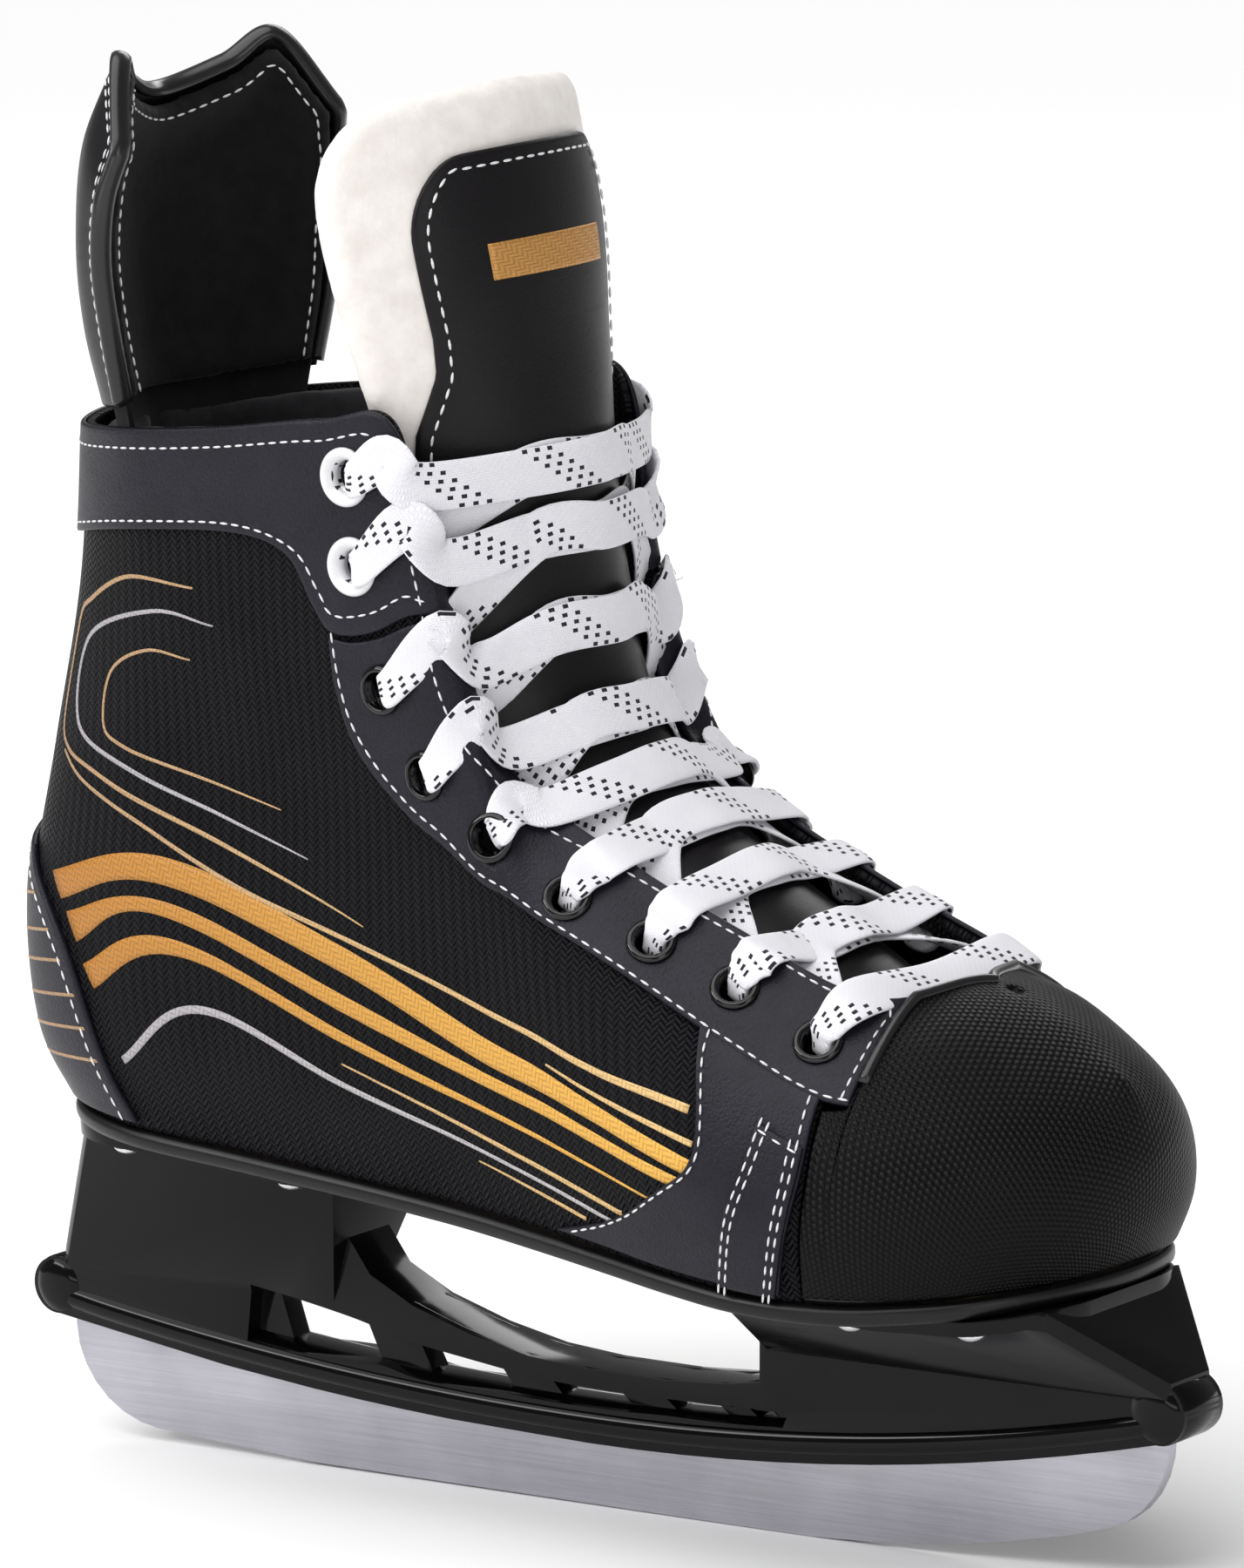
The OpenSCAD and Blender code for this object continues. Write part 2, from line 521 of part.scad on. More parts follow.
// A run comes out of eyelet k, crosses the tongue and goes under the other side's edge
function run_keys(side, k, over, flip) =
  let (n = last_normal(side, EYELETS[k].x, EYELETS[k].y), e = to_edge(side, k),
       start = skin(side, EYELETS[k].x, EYELETS[k].y, 3.2),
       lip = skin(side, EDGE_U[k], 4.85, gap + overlay_t + 1.4), lip_n = last_normal(side, EDGE_U[k], 4.8),
       mid_n = tongue_normal(CROSS_S[k], 0),
       under = skin(-side, EDGE_U[k + 1], 4.85, -quarter_t - 1.6), under_n = last_normal(-side, EDGE_U[k + 1], 4.8))
  [hole_key(side, k, -quarter_t - 1.2, flip), hole_key(side, k, 1, flip),
   [start + 2.2 * e, -flip * n, 7, 1.4],
   [lip, -flip * lip_n, lace_w, lace_t],
   [tongue_skin(CROSS_S[k], 0.45 * side, over ? 4 : 2.6), -flip * tongue_normal(CROSS_S[k], 0.45 * side), lace_w, lace_t],
   [tongue_skin(CROSS_S[k], 0, over ? 3.6 : 1.6), -flip * mid_n, lace_w, lace_t],
   [tongue_skin(CROSS_S[k], -0.45 * side, over ? 2.8 : 1.6), -flip * tongue_normal(CROSS_S[k], -0.45 * side), lace_w, lace_t],
   [under, -flip * under_n, lace_w, lace_t]];
function half_keys(first) =
  [for (k = [0:last_eyelet - 1])
    each run_keys(k % 2 == 0 ? first : -first, k, first == near, k % 2 == 0 ? 1 : -1)];
bar_n = tongue_normal(0.3, 0);
function bar_keys(side) =
  let (n = last_normal(side, EYELETS[last_eyelet].x, EYELETS[last_eyelet].y), e = to_edge(side, last_eyelet),
       flip = last_eyelet % 2 == 0 ? 1 : -1)
  [hole_key(side, last_eyelet, -quarter_t - 1.2, flip), hole_key(side, last_eyelet, 1, flip),
   [skin(side, EYELETS[last_eyelet].x, EYELETS[last_eyelet].y, 3.2) + 2.2 * e, -flip * n, 7, 1.4],
   [skin(side, EDGE_U[last_eyelet], 4.85, gap + overlay_t + 1.6),
    -flip * last_normal(side, EDGE_U[last_eyelet], 4.8), lace_w, lace_t]];
function end_keys(side) =
  [[skin(side, EYELETS[0].x - 0.25, EYELETS[0].y - 0.7, -quarter_t - 2.2), -last_normal(side, EYELETS[0].x, EYELETS[0].y),
    lace_w, lace_t],
   [skin(side, EYELETS[0].x - 0.1, EYELETS[0].y - 0.25, -quarter_t - 2.6), -last_normal(side, EYELETS[0].x, EYELETS[0].y),
    8, 1.3]];
// The whole lace: down one half, over the bottom bar and up the other half
LACE = concat(end_keys(near), half_keys(near), bar_keys(near),
              [[tongue_skin(0.12, 0, 7), -bar_n, lace_w, lace_t]],
              reversed(bar_keys(far)), reversed(half_keys(far)), reversed(end_keys(far)));
lace_steps = 2;
function lace_key(i) = LACE[clamp(i, 0, len(LACE) - 1)];
LACE_PATH = [for (i = [0:len(LACE) - 2], j = [0:(i == len(LACE) - 2 ? lace_steps : lace_steps - 1)])
  let (t = j / lace_steps, a = lace_key(i - 1), b = lace_key(i), c = lace_key(i + 1), d = lace_key(i + 2))
  [spline(a[0], b[0], c[0], d[0], t), b[1] * (1 - t) + c[1] * t, b[2] * (1 - t) + c[2] * t, b[3] * (1 - t) + c[3] * t]];

module lace() {
  last_i = len(LACE_PATH) - 1;
  rings = [for (i = [0:last_i])
    let (q = LACE_PATH[i], a = LACE_PATH[max(i - 1, 0)][0], b = LACE_PATH[min(i + 1, last_i)][0], t = unit(b - a),
         across = unit(cross(t, q[1])), facing = cross(across, t), w = across * q[2] / 2, h = facing * q[3] / 2)
    [q[0] + w + h, q[0] - w + h, q[0] - w - h, q[0] + w - h]];
  points = [for (r = rings) each r];
  sides = [for (i = [0:last_i - 1], j = [0:3])
    let (a = 4 * i + j, b = 4 * i + (j + 1) % 4) each [[a, b, b + 4], [a, b + 4, a + 4]]];
  end = 4 * last_i;
  color(lace_white)
    polyhedron(points, concat(sides, [[0, 3, 2], [0, 2, 1], [end, end + 1, end + 2], [end, end + 2, end + 3]]));
}

// ---------------------------------------------------------------- tongue
module tongue_sheet(s0, s1, n, w0, w1, widths, d0, d1) {
  function w(s, j) = (w0 + (w1 - w0) * clamp((s - s0) / (s1 - s0), 0, 1)) * (2 * j / widths - 1);
  ss = steps(s0, s1, n);
  outer = [for (s = ss) [for (j = [0:widths]) tongue_skin(s, w(s, j), d1)]];
  inner = [for (s = ss) [for (j = [0:widths]) tongue_skin(s, w(s, j), d0)]];
  sheet(outer, inner, true);
}
felt_out = -facing_t - gap;
module tongue_felt_lower() {
  color(felt_white) tongue_sheet(0.1, tongue_fold - 0.02, 14, 0.95, 1, 10, felt_out - felt_t, felt_out);
}
module tongue_facing_lower() {
  color(black) tongue_sheet(0.3, tongue_fold - 0.02, 14, 0.7, 0.7, 8, -facing_t, 0);
}
// The free top of the tongue, with its rounded corners
module tongue_felt_upper() {
  rows = concat(steps(tongue_fold + 0.02, 7.4, 5), [7.6, 7.8, 7.92, 8]);
  function half(s) = s < 7.5 ? 1 : 1 - 0.32 * (1 - sqrt(max(0, 1 - pow((s - 7.5) / 0.5, 2))));
  function grid(d) = [for (s = rows) [for (j = [0:12]) tongue_skin(s, half(s) * (j / 6 - 1), d)]];
  color(felt_white) sheet(grid(felt_out), grid(felt_out - felt_t), true);
}
module tongue_facing_upper() {
  rows = concat(steps(tongue_fold + 0.02, 7.2, 4), [7.4, 7.52, 7.6]);
  function half(s) = s < 7.2 ? 0.7 : 0.7 - 0.24 * (1 - sqrt(max(0, 1 - pow((s - 7.2) / 0.4, 2))));
  function grid(d) = [for (s = rows) [for (j = [0:10]) tongue_skin(s, half(s) * (j / 5 - 1), d)]];
  color(black) sheet(grid(0), grid(-facing_t), true);
}
// A plain raised band across the facing
module tongue_badge() {
  rows = steps(6.75, 7.0, 2);
  function grid(d) = [for (s = rows) [for (j = [0:6]) tongue_skin(s, 0.4 * (j / 3 - 1), d)]];
  color(bronze) sheet(grid(0.75), grid(0.15), true);
}

// ---------------------------------------------------------------- tendon guard
module guard_sheet(d0, d1, v1) {
  function grid(d) = [for (w = steps(-3, 3, 18)) [for (v = steps(0, v1, 8)) guard_skin(w, v, d)]];
  sheet(grid(d1), grid(d0), false);
}
module tendon_guard_shell() { color(black) guard_sheet(-guard_t, 0, 4); }
module tendon_guard_lining() { color("#0c0c0f") guard_sheet(-guard_t - gap - 3.6, -guard_t - gap, 3.9); }

blade_runner();
blade_nuts();
blade_holder();
sole_rivets_heel();
sole_rivets_front();
outsole();
insole_board();
footbed();
heel_counter();
quarter_near();
quarter_far();
ankle_padding_near();
ankle_padding_far();
cuff_near();
cuff_far();
eyestay_near();
eyestay_far();
vamp_overlay_near();
vamp_overlay_far();
side_tab_near();
side_tab_far();
heel_panel();
toe_cap_shell();
toe_cap_cover();
toe_lining();
eyelets_top_near();
eyelets_top_far();
eyelets_low_near();
eyelets_low_far();
lace();
tongue_felt_lower();
tongue_facing_lower();
tongue_felt_upper();
tongue_facing_upper();
tongue_badge();
tendon_guard_shell();
tendon_guard_lining();
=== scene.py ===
# %% [markdown]
# # A hockey skate, piece by piece
# A lace-up hockey skate is a soft boot sewn from flat panels over a wooden last, on a moulded holder with a
# steel runner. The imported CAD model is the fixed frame: it has every piece at its real size, and each thing
# made here is placed from it. Lengths are in millimetres until a mesh is made, because a bootmaker thinks in
# millimetres; Blender's own unit is the metre.

import math
from contextlib import contextmanager

import bmesh
import bpy
import numpy as np
from mathutils import Matrix, Vector


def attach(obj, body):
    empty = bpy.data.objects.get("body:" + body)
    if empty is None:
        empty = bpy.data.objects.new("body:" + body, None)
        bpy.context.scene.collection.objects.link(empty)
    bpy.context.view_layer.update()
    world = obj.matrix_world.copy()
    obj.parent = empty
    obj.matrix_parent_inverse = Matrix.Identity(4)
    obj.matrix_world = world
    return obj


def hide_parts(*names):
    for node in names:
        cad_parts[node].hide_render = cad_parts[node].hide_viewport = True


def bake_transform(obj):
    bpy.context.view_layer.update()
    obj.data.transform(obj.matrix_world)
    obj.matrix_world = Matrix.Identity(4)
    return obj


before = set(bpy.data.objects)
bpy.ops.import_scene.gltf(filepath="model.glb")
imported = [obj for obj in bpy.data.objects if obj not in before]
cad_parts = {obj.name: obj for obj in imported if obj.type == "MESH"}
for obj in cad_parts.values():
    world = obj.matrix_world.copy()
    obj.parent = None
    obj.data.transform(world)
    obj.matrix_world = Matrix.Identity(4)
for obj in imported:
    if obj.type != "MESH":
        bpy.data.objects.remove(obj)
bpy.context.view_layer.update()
MM = 0.001
NEAR, FAR = -1, 1
SIDES = {"near": NEAR, "far": FAR}


def link(name, data):
    """A new object in the scene, at the origin."""
    made = bpy.data.objects.new(name, data)
    bpy.context.scene.collection.objects.link(made)
    return made


# %% [markdown]
# ## Camera, floor and light
# A product view uses a long lens from a few metres away, so that near and far parts keep their
# proportions. The camera turns about a target point in the middle of the skate. Its roll is a turn about
# its own line of sight.

# %% Camera
AZIMUTH, ELEVATION, ROLL = math.radians(36.8), math.radians(10.24), math.radians(-2.14)
DISTANCE = 2200
TARGET = Vector((9.8, 0, 154.0))
back = Vector((math.sin(AZIMUTH) * math.cos(ELEVATION), -math.cos(AZIMUTH) * math.cos(ELEVATION),
               math.sin(ELEVATION)))
right = Vector((math.cos(AZIMUTH), math.sin(AZIMUTH), 0))
up = back.cross(right)
rolled_right = math.cos(ROLL) * right + math.sin(ROLL) * up
rolled_up = -math.sin(ROLL) * right + math.cos(ROLL) * up

camera_data = bpy.data.cameras.new("camera")
camera_data.sensor_fit = "HORIZONTAL"
camera_data.sensor_width = 36
camera_data.lens = 309.6
camera_data.clip_end = 100
camera = link("camera", camera_data)
turned = Matrix((rolled_right, rolled_up, back)).transposed().to_4x4()
camera.matrix_world = Matrix.Translation((TARGET + DISTANCE * back) * MM) @ turned
bpy.context.scene.camera = camera
print("camera at", tuple(round(c, 3) for c in camera.location))


# %% Floor and light
def light(name, kind, towards, power):
    """A light that shines in one direction."""
    made = link(name, bpy.data.lights.new(name, kind))
    made.data.energy = power
    made.rotation_euler = Vector(towards).to_track_quat("-Z", "Y").to_euler()
    return made


def area_light(name, place, target, size, power):
    """A soft box at place, in metres, that faces the target."""
    box = light(name, "AREA", Vector(target) - Vector(place), power)
    box.location = place
    box.data.shape = "RECTANGLE"
    box.data.size, box.data.size_y = size


middle = (0, 0, 0.15)
# A very wide sun gives even light from above, the same at every place on the floor.
overhead = light("overhead", "SUN", (0.2, 0.4, -1.0), 2.95)
overhead.data.angle = math.radians(75)
area_light("key", (-1.25, -1.6, 1.15), middle, (1.2, 0.3), 13)
area_light("fill", (1.9, -1.1, 0.8), middle, (0.7, 1.2), 7)
area_light("behind", (-0.5, 1.6, 1.2), middle, (1.2, 0.8), 9)
area_light("low_front", (0.4, -1.9, 0.3), (0, 0, 0.05), (1.5, 0.22), 3.5)

world = bpy.data.worlds.new("studio")
world.use_nodes = True
surround = world.node_tree.nodes["Background"].inputs
surround["Color"].default_value = (1, 1, 1, 1)
surround["Strength"].default_value = 0.22
bpy.context.scene.world = world
bpy.context.scene.view_settings.view_transform = "Standard"

floor_mesh = bpy.data.meshes.new("floor")
reach = 20
floor_mesh.from_pydata([(-reach, -reach, 0), (reach, -reach, 0), (reach, reach, 0), (-reach, reach, 0)], [],
                       [(0, 1, 2, 3)])
floor = link("floor", floor_mesh)
floor_paint = bpy.data.materials.new("floor_paint")
floor_paint.use_nodes = True
paint = floor_paint.node_tree.nodes["Principled BSDF"].inputs
paint["Base Color"].default_value = (0.93, 0.93, 0.93, 1)
paint["Roughness"].default_value = 0.75
paint["Specular IOR Level"].default_value = 0.2
floor_mesh.materials.append(floor_paint)

# %% [markdown]
# ## Building shader nodes
# Every finish is a small tree of nodes. One helper adds a node, sets its properties and joins its sockets, so
# that each material below reads as a list of what happens to the surface.


# %% Node helpers
def node(tree, kind, sockets=None, **settings):
    """Adds a node. sockets maps a socket's name or number to a value or to another node's output."""
    made = tree.nodes.new(kind)
    for name, value in settings.items():
        setattr(made, name, value)
    for name, value in (sockets or {}).items():
        if isinstance(value, bpy.types.NodeSocket):
            tree.links.new(value, made.inputs[name])
        else:
            made.inputs[name].default_value = value
    return made


def maths(tree, operation, *values, clamp=False):
    """The output of one Math node."""
    return node(tree, "ShaderNodeMath", dict(enumerate(values)), operation=operation,
                use_clamp=clamp).outputs[0]


def ramp(tree, factor, *stops):
    """The output of a Color Ramp; each stop is (position, colour) or (position, grey)."""
    made = node(tree, "ShaderNodeValToRGB", {"Fac": factor})
    elements = made.color_ramp.elements
    for _ in stops[2:]:
        elements.new(0.5)
    for element, (position, value) in zip(elements, stops):
        element.position = position
        element.color = (*value, 1) if isinstance(value, tuple) else (value, value, value, 1)
    return made.outputs["Color"]


def noise(tree, vector, scale, detail=3.0, roughness=0.5):
    """The value of a Noise texture."""
    sockets = {"Vector": vector, "Scale": scale, "Detail": detail, "Roughness": roughness}
    return node(tree, "ShaderNodeTexNoise", sockets).outputs["Fac"]


def material(name, colour, roughness, **values):
    """A material whose Principled shader has these plain values; returns it with its tree and shader."""
    made = bpy.data.materials.new(name + "_finish")
    made.use_nodes = True
    shader = made.node_tree.nodes["Principled BSDF"]
    shader.inputs["Base Color"].default_value = (*colour, 1)
    shader.inputs["Roughness"].default_value = roughness
    for socket, value in values.items():
        shader.inputs[socket.replace("_", " ")].default_value = value
    return made, made.node_tree, shader


def surface(tree, shader, colour, height, strength, distance, rough=None):
    """Gives the shader its colour, its relief (height times distance, in metres) and its roughness."""
    tree.links.new(colour, shader.inputs["Base Color"])
    if rough is not None:
        tree.links.new(rough, shader.inputs["Roughness"])
    raised = node(tree, "ShaderNodeBump", {"Height": height, "Strength": strength, "Distance": distance})
    tree.links.new(raised.outputs["Normal"], shader.inputs["Normal"])


def object_place(tree):
    return node(tree, "ShaderNodeTexCoord").outputs["Object"]


def flat_place(tree):
    """The place in the piece's flat pattern, in metres."""
    return node(tree, "ShaderNodeUVMap", uv_map="flat").outputs["UV"]


# %% [markdown]
# ## Effects that many finishes share
# Leather, felt, plastic and steel all carry a fine grain, and cloth carries crossing threads. Each effect is
# a node group with named inputs. A group gives out masks and heights, and the shader stays in the
# material, so that every finish can use the effect with its own values.


# %% Group helpers
def new_group(name, inputs, outputs):
    """A shader node group with these sockets: inputs maps a name to (kind, value), outputs a name to a
    kind."""
    tree = bpy.data.node_groups.new(name, "ShaderNodeTree")
    for socket, (kind, value) in inputs.items():
        made = tree.interface.new_socket(name=socket, in_out="INPUT", socket_type=kind)
        if value is not None:
            made.default_value = value
    for socket, kind in outputs.items():
        tree.interface.new_socket(name=socket, in_out="OUTPUT", socket_type=kind)
    return tree, tree.nodes.new("NodeGroupInput").outputs, tree.nodes.new("NodeGroupOutput").inputs


def use_group(tree, group, sockets):
    return node(tree, "ShaderNodeGroup", sockets, node_tree=group).outputs


FLOAT, VECTOR = "NodeSocketFloat", "NodeSocketVector"

# %% Leather grain
grain, grain_in, grain_out = new_group(
    "leather_grain", {"Vector": (VECTOR, None), "Cell": (FLOAT, 0.001)}, {"Height": FLOAT, "Tone": FLOAT})
density = maths(grain, "DIVIDE", 1.0, grain_in["Cell"])
wander = node(grain, "ShaderNodeTexNoise", {"Vector": grain_in["Vector"],
                                            "Scale": maths(grain, "MULTIPLY", density, 0.6)})
shifted = node(grain, "ShaderNodeVectorMath", {0: wander.outputs["Color"], 1: (0.0006, 0.0006, 0.0006)},
               operation="MULTIPLY")
moved = node(grain, "ShaderNodeVectorMath", {0: grain_in["Vector"], 1: shifted.outputs[0]}, operation="ADD")
cells = node(grain, "ShaderNodeTexVoronoi", {"Vector": moved.outputs[0], "Scale": density},
             feature="SMOOTH_F1")
fine = noise(grain, grain_in["Vector"], maths(grain, "MULTIPLY", density, 2.6), 2.0)
pebbles = maths(grain, "SUBTRACT", 1.0, cells.outputs["Distance"])
grain.links.new(maths(grain, "MULTIPLY_ADD", fine, 0.35, pebbles), grain_out["Height"])
# Tone is random blotches plus the pebbles' own height: the creases between pebbles come out darker, which is
# painted shade.
patches = noise(grain, grain_in["Vector"], 38.0, 4.0, 0.6)
grain.links.new(maths(grain, "MULTIPLY_ADD", patches, 0.7, maths(grain, "MULTIPLY", pebbles, 0.3)),
                grain_out["Tone"])

# %% Crossing threads
# A twill passes each weft thread over two warp threads and under two, one thread further along each row, so
# the floats line up into slanting ridges.
twill, twill_in, twill_out = new_group(
    "twill_weave", {"Vector": (VECTOR, None), "Pitch": (FLOAT, 0.001)}, {"Height": FLOAT, "Over": FLOAT})
scaled = node(twill, "ShaderNodeVectorMath", {0: twill_in["Vector"],
                                              "Scale": maths(twill, "DIVIDE", 1.0, twill_in["Pitch"])},
              operation="SCALE")
split = node(twill, "ShaderNodeSeparateXYZ", {0: scaled.outputs[0]})
warp, weft = split.outputs["X"], split.outputs["Y"]
diagonal = maths(twill, "ADD", maths(twill, "FLOOR", warp), maths(twill, "FLOOR", weft))
over = maths(twill, "LESS_THAN", maths(twill, "FLOORED_MODULO", diagonal, 4.0), 1.5)


def thread_round(position):
    """Height across one thread: 1 on its middle, 0 at its sides."""
    centred = maths(twill, "SUBTRACT", maths(twill, "FRACT", position), 0.5)
    return maths(twill, "SUBTRACT", 1.0, maths(twill, "MULTIPLY", maths(twill, "MULTIPLY", centred, centred),
                                               4.0))


mixed = node(twill, "ShaderNodeMix", {0: over, 2: thread_round(weft), 3: thread_round(warp)})
twill.links.new(mixed.outputs[0], twill_out["Height"])
twill.links.new(over, twill_out["Over"])

# %% Fibres of felt and velour
fuzz, fuzz_in, fuzz_out = new_group(
    "fibre_fuzz", {"Vector": (VECTOR, None), "Fibre": (FLOAT, 0.001)}, {"Height": FLOAT, "Tone": FLOAT})
count = maths(fuzz, "DIVIDE", 1.0, fuzz_in["Fibre"])
lumps = noise(fuzz, fuzz_in["Vector"], maths(fuzz, "MULTIPLY", count, 0.25), 3.0, 0.6)
hairs = noise(fuzz, fuzz_in["Vector"], maths(fuzz, "MULTIPLY", count, 1.6), 4.0, 0.8)
fuzz.links.new(maths(fuzz, "MULTIPLY_ADD", hairs, 0.6, lumps), fuzz_out["Height"])
fuzz.links.new(lumps, fuzz_out["Tone"])

# %% Scuffs and dust
wear, wear_in, wear_out = new_group("light_wear", {"Vector": (VECTOR, None)}, {"Scuff": FLOAT, "Dust": FLOAT})
stretched = node(wear, "ShaderNodeMapping", {"Vector": wear_in["Vector"], "Scale": (60.0, 60.0, 420.0),
                                             "Rotation": (0.0, 0.5, 0.0)})
streaks = noise(wear, stretched.outputs[0], 1.0, 4.0, 0.7)
wear.links.new(maths(wear, "MULTIPLY", maths(wear, "SUBTRACT", streaks, 0.55, clamp=True), 3.0, clamp=True),
               wear_out["Scuff"])
specks = noise(wear, wear_in["Vector"], 260.0, 5.0, 0.8)
wear.links.new(maths(wear, "MULTIPLY", maths(wear, "SUBTRACT", specks, 0.6, clamp=True), 4.0, clamp=True),
               wear_out["Dust"])
print("shared effects:", [g.name for g in bpy.data.node_groups])

# %% [markdown]
# ## Finishes
# A surface looks real when its texture has its real size: each finish here has its colour, its gloss and its
# relief at true scale. Threads are about a millimetre apart on the quarter, leather pebbles half of
# that, and felt fibres finer still.

# %% Woven nylon and knit
NYLON_PITCH = 0.00105


def cloth(name, colour, crown_highlight_colour, pitch, relief, roughness, turned):
    """A woven cloth whose threads follow the piece's flat pattern. The thread crowns take a painted highlight
    colour, and the valleys between threads are painted shade.
    """
    made, tree, shader = material(name, colour, roughness, Specular_IOR_Level=0.07)
    place = node(tree, "ShaderNodeMapping", {"Vector": flat_place(tree), "Rotation": (0, 0, turned)})
    threads = use_group(tree, twill, {"Vector": place.outputs[0], "Pitch": pitch})
    shade = noise(tree, object_place(tree), 45.0, 4.0, 0.6)
    # Painted highlight and shade: the colour goes from the dark base in the valleys to the light crown colour
    # on the thread tops, scaled by random noise.
    tone = maths(tree, "MULTIPLY", threads["Height"], maths(tree, "ADD", shade, 0.45))
    colours = ramp(tree, tone, (0.25, colour), (0.95, crown_highlight_colour))
    gloss = maths(tree, "MULTIPLY_ADD", threads["Over"], -0.12, roughness)
    surface(tree, shader, colours, threads["Height"], 0.9, relief, gloss)
    return made


# The second colour is the painted highlight on the crowns of the nylon's threads.
nylon = cloth("woven_nylon", (0.0012, 0.0012, 0.0016), (0.0105, 0.0105, 0.0125), NYLON_PITCH, 0.00045, 0.5,
              math.radians(32))


def knit_cloth():
    """Raised knit: rows of round loops, each row half a loop along from the last."""
    made, tree, shader = material("toe_knit", (0.003, 0.003, 0.004), 0.42, Specular_IOR_Level=0.12)
    loop = 0.00145
    scaled_place = node(tree, "ShaderNodeVectorMath", {0: flat_place(tree), "Scale": 1 / loop},
                        operation="SCALE")
    along = node(tree, "ShaderNodeSeparateXYZ", {0: scaled_place.outputs[0]})
    row = maths(tree, "MULTIPLY", along.outputs["Y"], 1.25)
    shift = maths(tree, "MULTIPLY", maths(tree, "FLOORED_MODULO", maths(tree, "FLOOR", row), 2.0), 0.5)
    across = maths(tree, "SUBTRACT", maths(tree, "FRACT", maths(tree, "ADD", along.outputs["X"], shift)), 0.5)
    down = maths(tree, "SUBTRACT", maths(tree, "FRACT", row), 0.5)
    distance = maths(tree, "SQRT", maths(tree, "ADD", maths(tree, "MULTIPLY", across, across),
                                         maths(tree, "MULTIPLY", down, down)))
    dome = maths(tree, "SUBTRACT", 1.0, maths(tree, "MULTIPLY", distance, 2.1), clamp=True)
    loops = maths(tree, "POWER", dome, 0.6)
    # Painted shade and highlight: the gaps between loops are near black and the loop tops lighter, following
    # the loops' height.
    colours = ramp(tree, loops, (0.1, (0.0008, 0.0008, 0.001)), (0.9, (0.0075, 0.0075, 0.0088)))
    surface(tree, shader, colours, loops, 1.0, 0.0005)
    return made


knit = knit_cloth()


# %% Leathers
def leather(name, dark, light, roughness, cell, relief, coat=0.0):
    """Synthetic leather: pebbled, a little blotchy, and smoother on top of its pebbles."""
    made, tree, shader = material(name, dark, roughness, Specular_IOR_Level=0.2, Coat_Weight=coat,
                                  Coat_Roughness=0.3)
    place = object_place(tree)
    pores = use_group(tree, grain, {"Vector": place, "Cell": cell})
    # Colour from the grain's tone: random blotches, and painted shade in the creases between pebbles.
    colours = ramp(tree, pores["Tone"], (0.3, dark), (0.75, light))
    worn = use_group(tree, wear, {"Vector": place})
    rough = maths(tree, "MULTIPLY_ADD", pores["Tone"], -0.16, roughness + 0.08)
    rough = maths(tree, "MULTIPLY_ADD", worn["Scuff"], 0.1, rough)
    surface(tree, shader, colours, pores["Height"], 0.55, relief, rough)
    return made


slate = leather("slate_leather", (0.0045, 0.0042, 0.0072), (0.0165, 0.0156, 0.0245), 0.41, 0.00055, 0.00018)
black_leather = leather("black_leather", (0.003, 0.0024, 0.003), (0.008, 0.0065, 0.0082), 0.4, 0.0005,
                        0.00005)
edge_binding = leather("edge_binding", (0.006, 0.006, 0.007), (0.012, 0.012, 0.014), 0.22, 0.0006, 0.00005,
                       0.6)


# %% Felt and velour
def fibres(name, dark, light, roughness, fibre, relief, sheen):
    """Matted or brushed fibres: a soft edge of light, and a surface with no sharp highlight."""
    made, tree, shader = material(name, dark, roughness, Sheen_Weight=sheen, Sheen_Roughness=0.6,
                                  Specular_IOR_Level=0.15)
    hair = use_group(tree, fuzz, {"Vector": object_place(tree), "Fibre": fibre})
    surface(tree, shader, ramp(tree, hair["Tone"], (0.3, dark), (0.7, light)), hair["Height"], 0.7, relief)
    return made


felt = fibres("white_felt", (0.76, 0.71, 0.675), (0.87, 0.83, 0.80), 0.95, 0.0016, 0.00035, 0.25)
velour = fibres("velour_lining", (0.0025, 0.0025, 0.003), (0.007, 0.007, 0.008), 0.95, 0.0012, 0.0003, 0.1)
lining = fibres("padding_fabric", (0.006, 0.006, 0.008), (0.016, 0.016, 0.019), 0.9, 0.001, 0.00025, 0.15)
foam_fabric = fibres("footbed_fabric", (0.02, 0.02, 0.023), (0.045, 0.045, 0.05), 0.9, 0.0012, 0.0002, 0.15)


# %% Moulded plastic and enamel
def plastic(name, dark, light, roughness, ripple, coat=0.0, gloss=0.5):
    """Moulded plastic or enamel: faint ripple in the gloss, a few scuffs and a little dust."""
    made, tree, shader = material(name, dark, roughness, Specular_IOR_Level=gloss, Coat_Weight=coat,
                                  Coat_Roughness=0.06)
    place = object_place(tree)
    worn = use_group(tree, wear, {"Vector": place})
    waves = noise(tree, place, 90.0, 3.0, 0.5)
    tone = maths(tree, "MULTIPLY_ADD", worn["Dust"], 0.5, maths(tree, "MULTIPLY", waves, 0.5))
    raised = maths(tree, "MULTIPLY_ADD", worn["Dust"], 0.04, waves)
    rough = maths(tree, "MULTIPLY_ADD", worn["Scuff"], 0.16, roughness)
    surface(tree, shader, ramp(tree, tone, (0.1, dark), (0.9, light)), raised, 0.25, ripple, rough)
    return made


holder_plastic = plastic("holder_plastic", (0.0012, 0.0012, 0.0016), (0.0045, 0.0045, 0.0055), 0.11, 0.00008,
                         0.0, 0.18)
sole_plastic = plastic("sole_plastic", (0.0025, 0.0025, 0.003), (0.008, 0.008, 0.0095), 0.36, 0.0002, 0.0,
                       0.3)
black_enamel = plastic("black_enamel", (0.0012, 0.0012, 0.0015), (0.004, 0.004, 0.0045), 0.08, 0.00003, 0.0,
                       0.45)
white_enamel = plastic("white_enamel", (0.7, 0.7, 0.72), (0.86, 0.86, 0.87), 0.2, 0.00003, 0.6)


